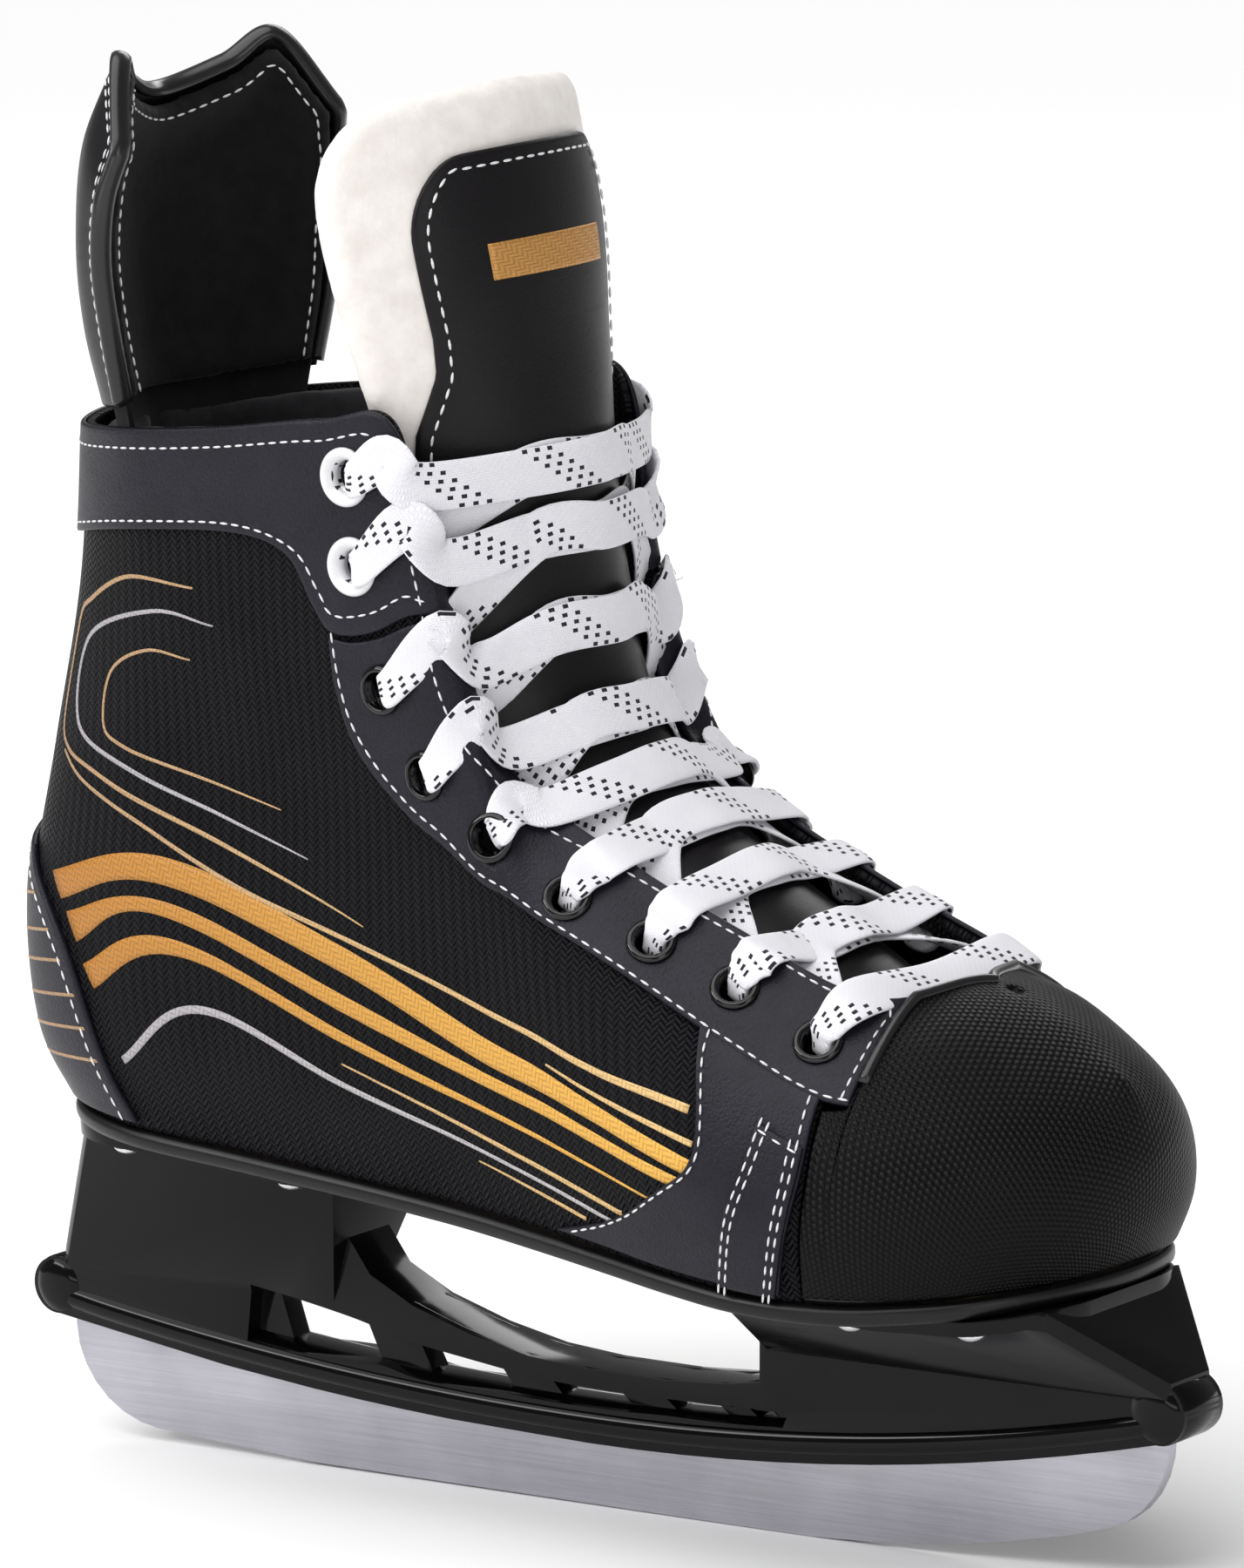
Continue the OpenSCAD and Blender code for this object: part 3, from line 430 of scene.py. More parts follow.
# %% Steel and board
def steel(name, dark, light, roughness, brushed):
    """Ground steel; brushed gives how much finer the scratches are across than along."""
    made, tree, shader = material(name, dark, roughness, Metallic=1.0)
    lines = node(tree, "ShaderNodeMapping", {"Vector": object_place(tree),
                                             "Scale": (30.0, 900.0, 30.0 * brushed)})
    scratch = noise(tree, lines.outputs[0], 1.0, 5.0, 0.7)
    cloudy = noise(tree, object_place(tree), 28.0, 4.0, 0.6)
    tone = maths(tree, "MULTIPLY_ADD", cloudy, 0.5, maths(tree, "MULTIPLY", scratch, 0.5))
    rough = maths(tree, "MULTIPLY_ADD", scratch, 0.22, roughness)
    surface(tree, shader, ramp(tree, tone, (0.3, dark), (0.7, light)), scratch, 0.35, 0.00004, rough)
    return made


blade_steel = steel("blade_steel", (0.36, 0.35, 0.39), (0.56, 0.55, 0.60), 0.28, 60.0)
plated_steel = steel("plated_steel", (0.6, 0.6, 0.62), (0.8, 0.8, 0.82), 0.16, 4.0)


def board():
    """Pressed fibre board: short pale and dark fibres."""
    made, tree, shader = material("fibre_board", (0.3, 0.23, 0.16), 0.85)
    spread = node(tree, "ShaderNodeMapping", {"Vector": object_place(tree), "Scale": (180.0, 700.0, 300.0)})
    chips = noise(tree, spread.outputs[0], 1.0, 5.0, 0.7)
    surface(tree, shader, ramp(tree, chips, (0.3, (0.2, 0.15, 0.1)), (0.7, (0.4, 0.32, 0.22))), chips, 0.5,
            0.0002)
    return made


fibre_board = board()


# %% Thread, lace and print
def thread_material():
    """White polyester thread with the twist of its strands."""
    made, tree, shader = material("stitch_thread", (0.72, 0.72, 0.74), 0.55, Sheen_Weight=0.2)
    strands = noise(tree, object_place(tree), 2600.0, 2.0, 0.5)
    colours = ramp(tree, strands, (0.3, (0.56, 0.56, 0.58)), (0.7, (0.84, 0.84, 0.86)))
    surface(tree, shader, colours, strands, 0.5, 0.0001)
    return made


thread = thread_material()


def print_foil(name, heel_colour, toe_colour, metallic):
    """Ink that changes along the boot: x in metres runs from the heel, -0.12, to the ball, 0.07."""
    made, tree, shader = material(name, heel_colour, 0.45, Specular_IOR_Level=0.3, Metallic=metallic)
    axis = node(tree, "ShaderNodeSeparateXYZ", {0: object_place(tree)}).outputs["X"]
    along = maths(tree, "DIVIDE", maths(tree, "ADD", axis, 0.12), 0.19, clamp=True)
    ink = node(tree, "ShaderNodeMix", {0: along, 6: (*heel_colour, 1), 7: (*toe_colour, 1)}, data_type="RGBA")
    threads = use_group(tree, twill, {"Vector": flat_place(tree), "Pitch": NYLON_PITCH})
    # Painted shade: the ink is darkened to about half in the valleys between threads.
    shade = ramp(tree, threads["Height"], (0.0, 0.55), (0.7, 1.0))
    ink_with_painted_shade = node(tree, "ShaderNodeMix", {0: 1.0, 6: ink.outputs[2], 7: shade}, data_type="RGBA",
                     blend_type="MULTIPLY")
    surface(tree, shader, ink_with_painted_shade.outputs[2], threads["Height"], 0.6, 0.00015)
    return made


gold_print = print_foil("gold_print", (0.42, 0.17, 0.03), (0.76, 0.42, 0.075), 0.0)
tan_print = print_foil("tan_print", (0.40, 0.25, 0.14), (0.72, 0.48, 0.2), 0.0)
silver_print = print_foil("silver_print", (0.36, 0.34, 0.37), (0.5, 0.47, 0.46), 0.0)
bronze_band = print_foil("bronze_band", (0.5, 0.24, 0.06), (0.55, 0.28, 0.08), 0.3)
print(len(bpy.data.materials), "finishes")

# %% [markdown]
# ## The last
# A boot takes its shape from a last. Here the last is fifteen cross sections from the heel to the toe, each
# with six levels from the sole to the collar, the lacing edge or the toe ridge. A smooth spline runs through
# them both ways, so a place on the boot is a station u, a level v and a height d above the skin. This is the
# same surface as in the CAD model, so every panel lies where the CAD panel is.

# %% The surface of the boot
LAST = np.array([
    [[-130, 0, 80], [-138, 0, 96], [-139, 0, 124], [-132, 0, 156], [-123, 0, 192], [-118.5, 0, 226]],
    [[-121, 20, 79], [-128, 23, 96], [-129, 23.5, 124], [-122.5, 22, 156], [-114.5, 21, 192],
     [-110.5, 21, 227]],
    [[-100, 31, 77], [-101, 35, 96], [-101, 36, 124], [-98, 33, 156], [-93, 33, 192], [-91, 34, 228.5]],
    [[-68, 33, 75], [-66, 37.5, 95], [-65, 38.5, 122], [-66, 35.5, 155], [-66, 37.5, 192], [-62, 38, 231]],
    [[-35, 34, 72], [-33, 39, 92], [-31, 40, 119], [-33, 38, 153], [-37, 39, 192], [-34, 39.5, 234.5]],
    [[-8, 36, 70], [-5, 41, 90], [-3, 41.5, 115], [-6, 40, 150], [-14, 39.5, 190], [-15, 39, 234]],
    [[14, 39, 68], [16, 44, 88], [15, 44, 111], [9, 42, 140], [0, 38.5, 168], [-8, 33.5, 196]],
    [[33, 42.5, 66], [34, 47, 85], [32, 47, 104], [24, 44, 127], [12, 37.5, 148], [1, 29, 163]],
    [[50, 46, 64], [51, 50.5, 82], [50, 50, 98], [45, 46, 117], [36, 37.5, 132], [28, 27, 145.5]],
    [[68, 48.5, 62.5], [69, 52.5, 79], [69, 51.5, 92], [66, 46.5, 107], [62, 37, 118], [57, 26, 132]],
    [[84, 48, 61.5], [86, 51.5, 76], [87, 50, 88], [87, 45, 99.5], [87, 35.5, 110], [86, 24, 120]],
    [[99, 43.5, 61.5], [102, 46.5, 75], [104, 45, 87], [104, 38, 99.5], [102, 22, 113], [99, 0, 119]],
    [[114, 34, 62.5], [118, 36.5, 75], [119, 35, 87], [118, 28, 98], [115.5, 15, 107.5], [112, 0, 113.5]],
    [[125, 19, 63.5], [129.5, 20, 75], [130, 19, 86], [128.5, 15, 95], [125.5, 8, 102], [122.5, 0, 106]],
    [[129, 0, 64.5], [133.5, 0, 75], [134.5, 0, 85], [133, 0, 92], [131, 0, 97.5], [128.5, 0, 101.5]]])
TOE, TOP = 14, 5
TOE_TURN = 5
MIRROR = np.array([1, -1, 1])


def widened(grid):
    """The grid with two mirrored stations past each end and one more level below and above."""
    ends = np.concatenate([grid[2:0:-1] * MIRROR, grid, grid[-2:-4:-1] * MIRROR])
    under = 2 * ends[:, :1] - ends[:, 1:2]
    on_ridge = np.abs(ends[:, -1:, 1:2]) < 1e-9
    over_top = np.where(on_ridge, ends[:, -2:-1] * MIRROR, 2 * ends[:, -1:] - ends[:, -2:-1])
    return np.concatenate([under, ends, over_top], 1)


WIDE_LAST = widened(LAST)


def spline_weights(t):
    """How much each of four neighbouring points counts at t, from 0 to 1, between the middle two."""
    return np.stack([-t + 2 * t**2 - t**3, 2 - 5 * t**2 + 3 * t**3, t + 4 * t**2 - 3 * t**3, -t**2 + t**3],
                    -1) / 2


def turn(x):
    t = np.clip((x - 10) / 125, 0, 1.2)
    return TOE_TURN * t * t * (1.5 - 0.5 * t)


def last_at(side, u, v):
    """Points on the skin; side, u and v may be arrays."""
    side, u, v = np.broadcast_arrays(np.asarray(side, float), np.asarray(u, float), np.asarray(v, float))
    k = np.clip(np.floor(u), -1, TOE).astype(int)
    j = np.clip(np.floor(v), 0, TOP - 1).astype(int)
    along, upward = spline_weights(u - k), spline_weights(v - j)
    point = np.zeros(u.shape + (3,))
    for a in range(4):
        for b in range(4):
            point += (along[..., a] * upward[..., b])[..., None] * WIDE_LAST[k + 1 + a, j + b]
    x = point[..., 0]
    return np.stack([x, side * np.maximum(point[..., 1], 0) + turn(x), point[..., 2]], -1)


def unit(vectors):
    return vectors / np.maximum(np.linalg.norm(vectors, axis=-1, keepdims=True), 1e-12)


def last_normal(side, u, v):
    step = 0.02
    a = np.clip(np.asarray(u, float), step, TOE - 0.06)
    b = np.clip(np.asarray(v, float), step, TOP - 0.06)
    along = last_at(side, a + step, b) - last_at(side, a - step, b)
    upward = last_at(side, a, b + step) - last_at(side, a, b - step)
    return -np.asarray(side, float)[..., None] * unit(np.cross(along, upward))


def skin(side, u, v, d):
    return last_at(side, u, v) + np.asarray(d, float)[..., None] * last_normal(side, u, v)


def on_side(side):
    """Places a panel on one side of the boot."""
    return lambda u, v, d: skin(np.full(np.shape(u), side, float), u, v, d)


def round_heel(u, v, d):
    """Places a panel that wraps the heel: u runs from minus on the near side to plus on the far side."""
    return skin(np.where(u <= 0, NEAR, FAR), np.abs(u), v, d)


ball = last_at([NEAR, FAR], 9.5, 1.0)
print("width at the ball %.1f mm" % abs(ball[1, 1] - ball[0, 1]))

# %% [markdown]
# ## Panels from four edges
# A sewn panel is a flat piece of cloth or leather with four edges. A Coons patch fills in its middle from
# smooth lines along the edges, first in stations and levels and then on the last. Its outer face, its inner
# face and its rim make a closed sheet, and the outermost rows dip a little, as a cut edge does.


# %% Lines and patches
def along_line(points, fractions):
    """Points at these fractions of the length of a smooth line through points."""
    points = np.asarray(points, float)
    if len(points) == 2:
        return points[0] + np.asarray(fractions)[:, None] * (points[1] - points[0])
    ends = np.concatenate([2 * points[:1] - points[1:2], points, 2 * points[-1:] - points[-2:-1]])
    t = np.linspace(0, 1, 24, endpoint=False)
    spans = [spline_weights(t) @ ends[i:i + 4] for i in range(len(points) - 1)]
    dense = np.concatenate(spans + [points[-1:]])
    travelled = np.concatenate([[0], np.cumsum(np.linalg.norm(np.diff(dense, axis=0), axis=1))])
    wanted = np.asarray(fractions) * travelled[-1]
    return np.stack([np.interp(wanted, travelled, dense[:, c]) for c in range(dense.shape[1])], -1)


def patch(bottom, top, left, right, s, t):
    """A grid of (u, v) between four edges, at the fractions s from left to right and t from bottom to top."""
    low, high = along_line(bottom, s), along_line(top, s)
    start, end = along_line(left, t), along_line(right, t)
    s, t = s[:, None, None], t[None, :, None]
    corners = ((1 - s) * (1 - t) * low[0] + s * (1 - t) * low[-1] + (1 - s) * t * high[0] + s * t * high[-1])
    return (1 - t) * low[:, None] + t * high[:, None] + (1 - s) * start[None] + s * end[None] - corners


def rolled_fractions(length, step, edge=0.7):
    """Fractions from 0 to 1, close together at both ends, and how far the sheet dips at each (0 to 1)."""
    rim = min(edge / length, 0.2)
    inside = np.linspace(rim, 1 - rim, max(int(length / step), 2))
    return (np.concatenate([[0, 0.35 * rim], inside, [1 - 0.35 * rim, 1]]),
            np.concatenate([[1, 0.3], np.zeros(len(inside)), [0.3, 1]]))


def length_of(points):
    return np.linalg.norm(np.diff(points, axis=0), axis=1).sum()


# %% Closed sheets
@contextmanager
def edited(mesh):
    """The mesh opened for editing; it is written back at the end."""
    whole = bmesh.new()
    whole.from_mesh(mesh)
    yield whole
    whole.to_mesh(mesh)
    whole.free()


def grid_quads(rows, cols):
    """The four corners of each cell of a grid of points."""
    index = np.arange(rows * cols).reshape(rows, cols)
    return np.stack([index[:-1, :-1], index[1:, :-1], index[1:, 1:], index[:-1, 1:]], -1)


def rim_faces(quads, count):
    """Faces from the open edges of one skin to the same edges of the other, whose points come count later."""
    starts, ends = quads.ravel(), np.roll(quads, -1, 1).ravel()
    border = (starts != ends) & ~np.isin(starts * count + ends, ends * count + starts)
    a, b = starts[border], ends[border]
    return np.stack([b, a, a + count, b + count], -1)


def sheet_faces(outer, inner, keep=None):
    """Points and faces of a closed sheet between two grids of points. A quad that keep leaves out is a
    hole."""
    count = outer.shape[0] * outer.shape[1]
    quads = grid_quads(*outer.shape[:2])
    quads = quads.reshape(-1, 4) if keep is None else quads[keep]
    flat_outer, flat_inner = outer.reshape(-1, 3), inner.reshape(-1, 3)
    corner, beside, _, above = flat_outer[quads[len(quads) // 2]]
    back = flat_inner[quads[len(quads) // 2][0]]
    if np.cross(beside - corner, above - corner) @ (corner - back) < 0:
        quads = quads[:, ::-1]
    faces = np.concatenate([quads, quads[:, ::-1] + count, rim_faces(quads, count)])
    used, faces = np.unique(faces, return_inverse=True)
    return np.concatenate([flat_outer, flat_inner])[used], faces.reshape(-1, 4), used % count


def corner_points(mesh):
    """The point at each corner of the faces."""
    corners = np.empty(len(mesh.loops), int)
    mesh.loops.foreach_get("vertex_index", corners)
    return corners


def set_flat(mesh, flat):
    """Gives each point its place in the cloth."""
    mesh.uv_layers.new(name="flat").data.foreach_set("uv", np.asarray(flat)[corner_points(mesh)].ravel())


def mesh_piece(name, points, faces, finish, flat=None):
    """A smooth mesh object at the origin, from points in millimetres; flat is each point's place in the
    cloth."""
    mesh = bpy.data.meshes.new(name)
    mesh.from_pydata((np.asarray(points) * MM).tolist(), [], [list(map(int, face)) for face in faces])
    mesh.polygons.foreach_set("use_smooth", [True] * len(mesh.polygons))
    if flat is not None:
        set_flat(mesh, flat)
    mesh.materials.append(finish)
    return link(name, mesh)


def sheet_piece(name, outer, inner, finish, keep=None, flat=None):
    points, faces, source = sheet_faces(outer, inner, keep)
    return mesh_piece(name, points, faces, finish, None if flat is None else flat.reshape(-1, 2)[source])


# %% Panels
HOLE_RADIUS = 4.0
CLOTH, GAP, LEATHER = 1.5, 0.4, 1.1
ROLL_DOWN = 0.4


def outside_holes(grid, holes):
    """True for each cell of the grid that stays when round holes are punched."""
    if not len(holes):
        return None
    middles = (grid[:-1, :-1] + grid[1:, 1:]) / 2
    return np.min([np.linalg.norm(middles - hole, axis=-1) for hole in holes], axis=0) > HOLE_RADIUS


def panel(name, place, edges, d0, d1, finish, step, holes=()):
    """A panel with four edges (bottom, top, left, right), from d0 to d1 above the skin, with round holes."""
    even = np.linspace(0, 1, 40)

    def real_length(edge):
        line = along_line(edge, even)
        return length_of(place(line[:, 0], line[:, 1], np.zeros(40)))

    s, dip_s = rolled_fractions(max(real_length(edges[0]), real_length(edges[1])), step)
    t, dip_t = rolled_fractions(max(real_length(edges[2]), real_length(edges[3])), step)
    grid = patch(*edges, s, t)
    dip = np.maximum(dip_s[:, None], dip_t[None, :]) * ROLL_DOWN
    outer = place(grid[..., 0], grid[..., 1], d1 - dip)
    inner = place(grid[..., 0], grid[..., 1], np.full(dip.shape, d0))
    return sheet_piece(name, outer, inner, finish, outside_holes(outer, holes))


print("a stitched panel is %.1f mm of leather on %.1f mm of cloth" % (LEATHER, CLOTH))

# %% [markdown]
# ## Lacing points
# Nine eyelets a side take the lace: two white ones in the cuff, where the lace is pulled hardest, and seven
# black ones below. Their places are needed before the panels, because the leather and the cloth are punched
# there.

# %% Eyelet places
EYELETS = [(4.36, 4.67), (4.44, 4.25), (4.62, 3.66), (4.95, 3.28), (6.15, 3.42), (7.47, 3.84), (8.29, 4.13),
           (9.02, 4.26), (9.77, 4.1)]
TOP_EYELETS, LOW_EYELETS = EYELETS[:2], EYELETS[2:]
EYELET_BORE = 6.4


def eyelet_holes(side, height):
    return [skin(side, u, v, height) for u, v in EYELETS]


print(len(EYELETS) * 2, "eyelets")

# %% [markdown]
# ## Cloth and leather of the upper
# The quarter is one piece of woven nylon a side, from the heel to the lacing edge. Over it are sewn the
# cuff, the eyestay, the front overlay with its tab, and the panel round the heel. The nylon is unwrapped
# with the angle-based method, so that its threads keep one spacing all over.


# %% Flat pattern of a piece of cloth
def unwrapped(piece):
    """Each point's place when the piece is laid flat with its angles kept. The piece is used up."""
    mesh = piece.data
    mesh.uv_layers.new(name="flat")
    bpy.context.view_layer.objects.active = piece
    piece.select_set(True)
    bpy.ops.object.mode_set(mode="EDIT")
    bpy.ops.mesh.select_all(action="SELECT")
    bpy.ops.uv.unwrap(method="ANGLE_BASED", margin=0.0)
    bpy.ops.object.mode_set(mode="OBJECT")
    values = np.empty(len(mesh.loops) * 2)
    mesh.uv_layers["flat"].data.foreach_get("uv", values)
    flat = np.zeros((len(mesh.vertices), 2))
    flat[corner_points(mesh)] = values.reshape(-1, 2)
    bpy.data.objects.remove(piece)
    return flat


def flat_pattern(grid):
    """Lays a grid of points flat, in metres, with its middle column along x."""
    rows, cols = grid.shape[:2]
    flat = unwrapped(mesh_piece("pattern", grid.reshape(-1, 3), grid_quads(rows, cols).reshape(-1, 4), nylon))
    flat = flat.reshape(rows, cols, 2)
    middle = cols // 2
    across = flat[-1, middle] - flat[0, middle]
    size = length_of(grid[:, middle]) * MM / length_of(flat[:, middle])
    angle = -math.atan2(across[1], across[0])
    spin = np.array([[math.cos(angle), -math.sin(angle)], [math.sin(angle), math.cos(angle)]])
    return flat @ spin.T * size


# %% Quarters
QUARTER_U = np.linspace(0.01, 10, 190)
QUARTER_V = np.linspace(0.04, 4.96, 84)
u_grid, v_grid = np.meshgrid(QUARTER_U, QUARTER_V, indexing="ij")
near_skin = skin(NEAR, u_grid, v_grid, 0.0)
QUARTER_FLAT = flat_pattern(near_skin)


def quarter(name, side):
    outer, inner = (skin(side, u_grid, v_grid, d) for d in (0.0, -CLOTH))
    return sheet_piece(name, outer, inner, nylon, outside_holes(outer, eyelet_holes(side, 0.0)), QUARTER_FLAT)


for side_name, side in SIDES.items():
    piece = quarter("quarter_cloth_" + side_name, side)
    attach(piece, "root")
    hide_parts("quarter_" + side_name)
print("quarter cloth, along its middle: %.0f mm" % length_of(near_skin[:, 42]))

# %% Leather panels
COLLAR = 4.96
CUFF_LOW = [(0.01, 4.12), (0.7, 4.24), (1.6, 4.34), (2.6, 4.39), (3.3, 4.38), (3.75, 4.27), (4.0, 4.02),
            (4.2, 3.895),
            (4.7, 3.935), (5.25, 4.175), (5.7, 4.52), (6, 4.83)]
STAY_LOW = [(4.12, 3.7), (4.2, 3.37), (4.47, 3.11), (4.88, 2.94), (5.74, 2.9), (7.18, 3.32), (8.08, 3.41),
            (8.71, 3.43), (9.33, 3.38), (10.3, 3.2)]
STAY_HIGH = [(4.12, 3.9), (4.4, 3.88), (4.8, 3.95), (5.25, 4.16), (5.7, 4.5), (6.05, 4.85), (6.4, 4.97),
             (7.5, 4.98),
             (8.8, 4.98), (10.3, 4.98)]
VAMP_REAR = [(6.3, 0.13), (7.1, 0.42), (7.69, 0.75), (8.37, 1.32), (8.61, 1.74), (8.7, 2.3), (8.72, 2.9),
             (8.74, 3.5)]
VAMP_FRONT = [(9.72, 0.13), (9.9, 1.3), (9.98, 2.3), (9.98, 3.32)]
TAB_REAR = [(8.88, 0.13), (9.05, 0.9), (9.28, 1.9), (9.44, 2.62)]
TAB_FRONT = [(9.7, 0.13), (9.84, 0.9), (9.93, 1.8), (9.97, 2.47)]
HEEL_NEAR = [(-2.15, 0.13), (-2.0, 0.6), (-1.74, 1.5), (-1.45, 1.95), (-0.98, 2.33)]
HEEL_FAR = [(-u, v) for u, v in HEEL_NEAR]


def with_straight_ends(rear, front):
    """The four edges of a panel whose bottom and top edges are straight."""
    return [rear[0], front[0]], [rear[-1], front[-1]], rear, front


CUFF = (CUFF_LOW, [(0.01, COLLAR), (6, COLLAR)], [(0.01, 4.12), (0.01, COLLAR)], [(6, 4.86), (6, COLLAR)])
STAY = (STAY_LOW, STAY_HIGH, [STAY_LOW[0], STAY_HIGH[0]], [STAY_LOW[-1], STAY_HIGH[-1]])
VAMP, TAB = with_straight_ends(VAMP_REAR, VAMP_FRONT), with_straight_ends(TAB_REAR, TAB_FRONT)
HEEL_EDGES = ([(-2.15, 0.13), (0, 0.13), (2.15, 0.13)], [HEEL_NEAR[-1], (0, 2.48), HEEL_FAR[-1]], HEEL_NEAR,
              HEEL_FAR)

for side_name, side in SIDES.items():
    place = on_side(side)
    leather_panels = (
        ("cuff", CUFF, GAP, GAP + LEATHER, slate, eyelet_holes(side, 1.5)[:2]),
        ("eyestay", STAY, GAP, GAP + LEATHER, slate, eyelet_holes(side, 1.5)[2:]),
        ("vamp_overlay", VAMP, GAP - 0.3, GAP + LEATHER - 0.15, slate, ()),
        ("side_tab", TAB, GAP + LEATHER, GAP + 2 * LEATHER, slate, ()))
    for panel_name, edges, d0, d1, finish, holes in leather_panels:
        piece = panel(f"{panel_name}_leather_{side_name}", place, edges, d0, d1, finish, 1.4, holes)
        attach(piece, "root")
        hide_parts(f"{panel_name}_{side_name}")

heel_leather = panel("heel_leather", round_heel, HEEL_EDGES, GAP - 0.3, GAP + LEATHER, slate, 1.4)
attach(heel_leather, "root")
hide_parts("heel_panel")
print("leather panels:", len(SIDES) * 4 + 1)

# %% [markdown]
# ## Printed bands
# Gold, tan and silver bands are printed on the nylon. Each is a very thin ribbon that follows the skin, with
# its width given at each of its points, so that it can taper. Its edges stay sharp at any distance, which a
# painted mask on the cloth would not.


# %% Ribbons on the skin
def quarter_flat(u, v):
    """The quarter's flat pattern at any station and level."""
    x = np.clip((u - QUARTER_U[0]) / (QUARTER_U[1] - QUARTER_U[0]), 0, len(QUARTER_U) - 1.001)
    y = np.clip((v - QUARTER_V[0]) / (QUARTER_V[1] - QUARTER_V[0]), 0, len(QUARTER_V) - 1.001)
    i, j = x.astype(int), y.astype(int)
    a, b = (x - i)[..., None], (y - j)[..., None]
    f = QUARTER_FLAT
    return (f[i, j] * (1 - a) * (1 - b) + f[i + 1, j] * a * (1 - b) + f[i, j + 1] * (1 - a) * b
            + f[i + 1, j + 1] * a * b)


def ribbon(side, route, finish, height, between=None):
    """A printed ribbon. route lists (u, v, width in mm); between gives its other edge as a second route."""
    even = np.linspace(0, 1, 90 if len(route) > 3 else 60)
    line = along_line(route, even)
    if between is None:
        middle = last_at(side, line[:, 0], line[:, 1])
        across = unit(np.cross(last_normal(side, line[:, 0], line[:, 1]), np.gradient(middle, axis=0)))
        step = 0.02
        per_u, per_v = ((last_at(side, line[:, 0] + du, line[:, 1] + dv)
                         - last_at(side, line[:, 0] - du, line[:, 1] - dv))
                        / (2 * step) for du, dv in ((step, 0), (0, step)))
        shift = (np.linalg.pinv(np.stack([per_u, per_v], -1)) @ across[..., None])[..., 0] * line[:, 2:3] / 2
        low, high = line[:, :2] - shift, line[:, :2] + shift
    else:
        low, high = line[:, :2], along_line(between, even)[:, :2]
    shares = np.linspace(0, 1, 5)
    uv = low[:, None] * (1 - shares[None, :, None]) + high[:, None] * shares[None, :, None]
    dip = np.array([0.06, 0, 0, 0, 0.06])
    outer = skin(side, uv[..., 0], uv[..., 1], height - dip + np.zeros(uv.shape[:2]))
    inner = skin(side, uv[..., 0], uv[..., 1], np.full(uv.shape[:2], 0.02))
    return sheet_piece("band", outer, inner, finish, None, quarter_flat(uv[..., 0], uv[..., 1]))


# %% The bands of the print
BANDS = {
    "gold": (gold_print, [
        ([(1.4, 2.21, 0), (2.48, 2.46, 0), (3.9, 2.13, 0), (5.4, 1.79, 0), (7.2, 1.75, 0), (8.6, 1.68, 0)],
         [(1.55, 2.03, 0), (2.45, 2.28, 0), (3.9, 1.95, 0), (5.4, 1.58, 0), (7.2, 1.53, 0), (8.56, 1.42, 0)]),
        ([(1.62, 1.95, 0), (2.5, 2.17, 0), (3.95, 1.78, 0), (5.4, 1.5, 0), (7.0, 1.42, 0), (8.5, 1.34, 0)],
         [(1.74, 1.75, 0), (2.45, 2.07, 0), (3.95, 1.65, 0), (5.4, 1.38, 0), (7.0, 1.28, 0), (8.3, 1.18, 0)]),
        ([(1.8, 1.6, 0), (2.55, 1.92, 0), (3.95, 1.5, 0), (5.4, 1.19, 0), (7.9, 0.92, 0)],
         [(1.9, 1.43, 0), (2.6, 1.8, 0), (3.95, 1.41, 0), (5.4, 1.13, 0), (7.9, 0.89, 0)])]),
    "tan": (tan_print, [
        ([(2.8, 4.08, 0.5), (2.05, 4.1, 0.9), (1.45, 3.92, 1.1), (1.22, 3.77, 1.1), (1.18, 3.21, 0.9),
          (1.36, 3.02, 0.9),
          (1.82, 2.9, 1.0), (2.9, 2.62, 1.0), (4.1, 2.29, 0.3)], None),
        ([(1.3, 3.0, 0.7), (1.62, 2.85, 0.8), (2.25, 2.66, 0.9), (3.35, 2.29, 1.0), (5.45, 2.0, 1.2),
          (7.2, 2.12, 1.5),
          (8.58, 2.33, 1.9)], None),
        ([(2.75, 3.67, 0.4), (2.3, 3.69, 0.7), (1.87, 3.53, 0.8), (1.84, 3.21, 0.8), (2.1, 3.1, 0.8),
          (2.7, 3.0, 0.7),
          (3.45, 2.88, 0.3)], None),
        ([(3.9, 1.25, 0.4), (5.4, 0.88, 1.0), (7.15, 0.6, 1.2), (7.4, 0.58, 1.2)], None),
        ([(6.35, 1.83, 0.5), (7.4, 1.87, 1.0), (8.6, 1.92, 1.3)], None),
        ([(5.25, 0.62, 0.4), (6.0, 0.47, 0.8), (6.75, 0.34, 1.0)], None)]),
    "silver": (silver_print, [
        ([(3.0, 3.88, 0.4), (2.35, 3.92, 0.9), (1.47, 3.69, 1.1), (1.48, 3.19, 1.1), (2.2, 2.96, 1.0),
          (2.9, 2.79, 0.8),
          (3.65, 2.62, 0.3)], None),
        ([(2.12, 0.85, 1.8), (2.75, 1.42, 1.8), (3.9, 1.07, 1.3), (5.35, 0.73, 0.9), (6.95, 0.46, 1.0),
          (7.2, 0.43, 1.0)],
         None)])}


def joined(pieces, name):
    """One object from several."""
    with edited(pieces[0].data) as whole:
        for part in pieces[1:]:
            whole.from_mesh(part.data)
    for part in pieces[1:]:
        bpy.data.objects.remove(part)
    pieces[0].name = name
    return pieces[0]


for side_name, side in SIDES.items():
    for ink_name, (finish, routes) in BANDS.items():
        parts = [ribbon(side, route, finish, 0.12, between) for route, between in routes]
        piece = joined(parts, f"{ink_name}_bands_{side_name}")
        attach(piece, "root")
print("printed bands a side:", sum(len(routes) for _, routes in BANDS.values()))

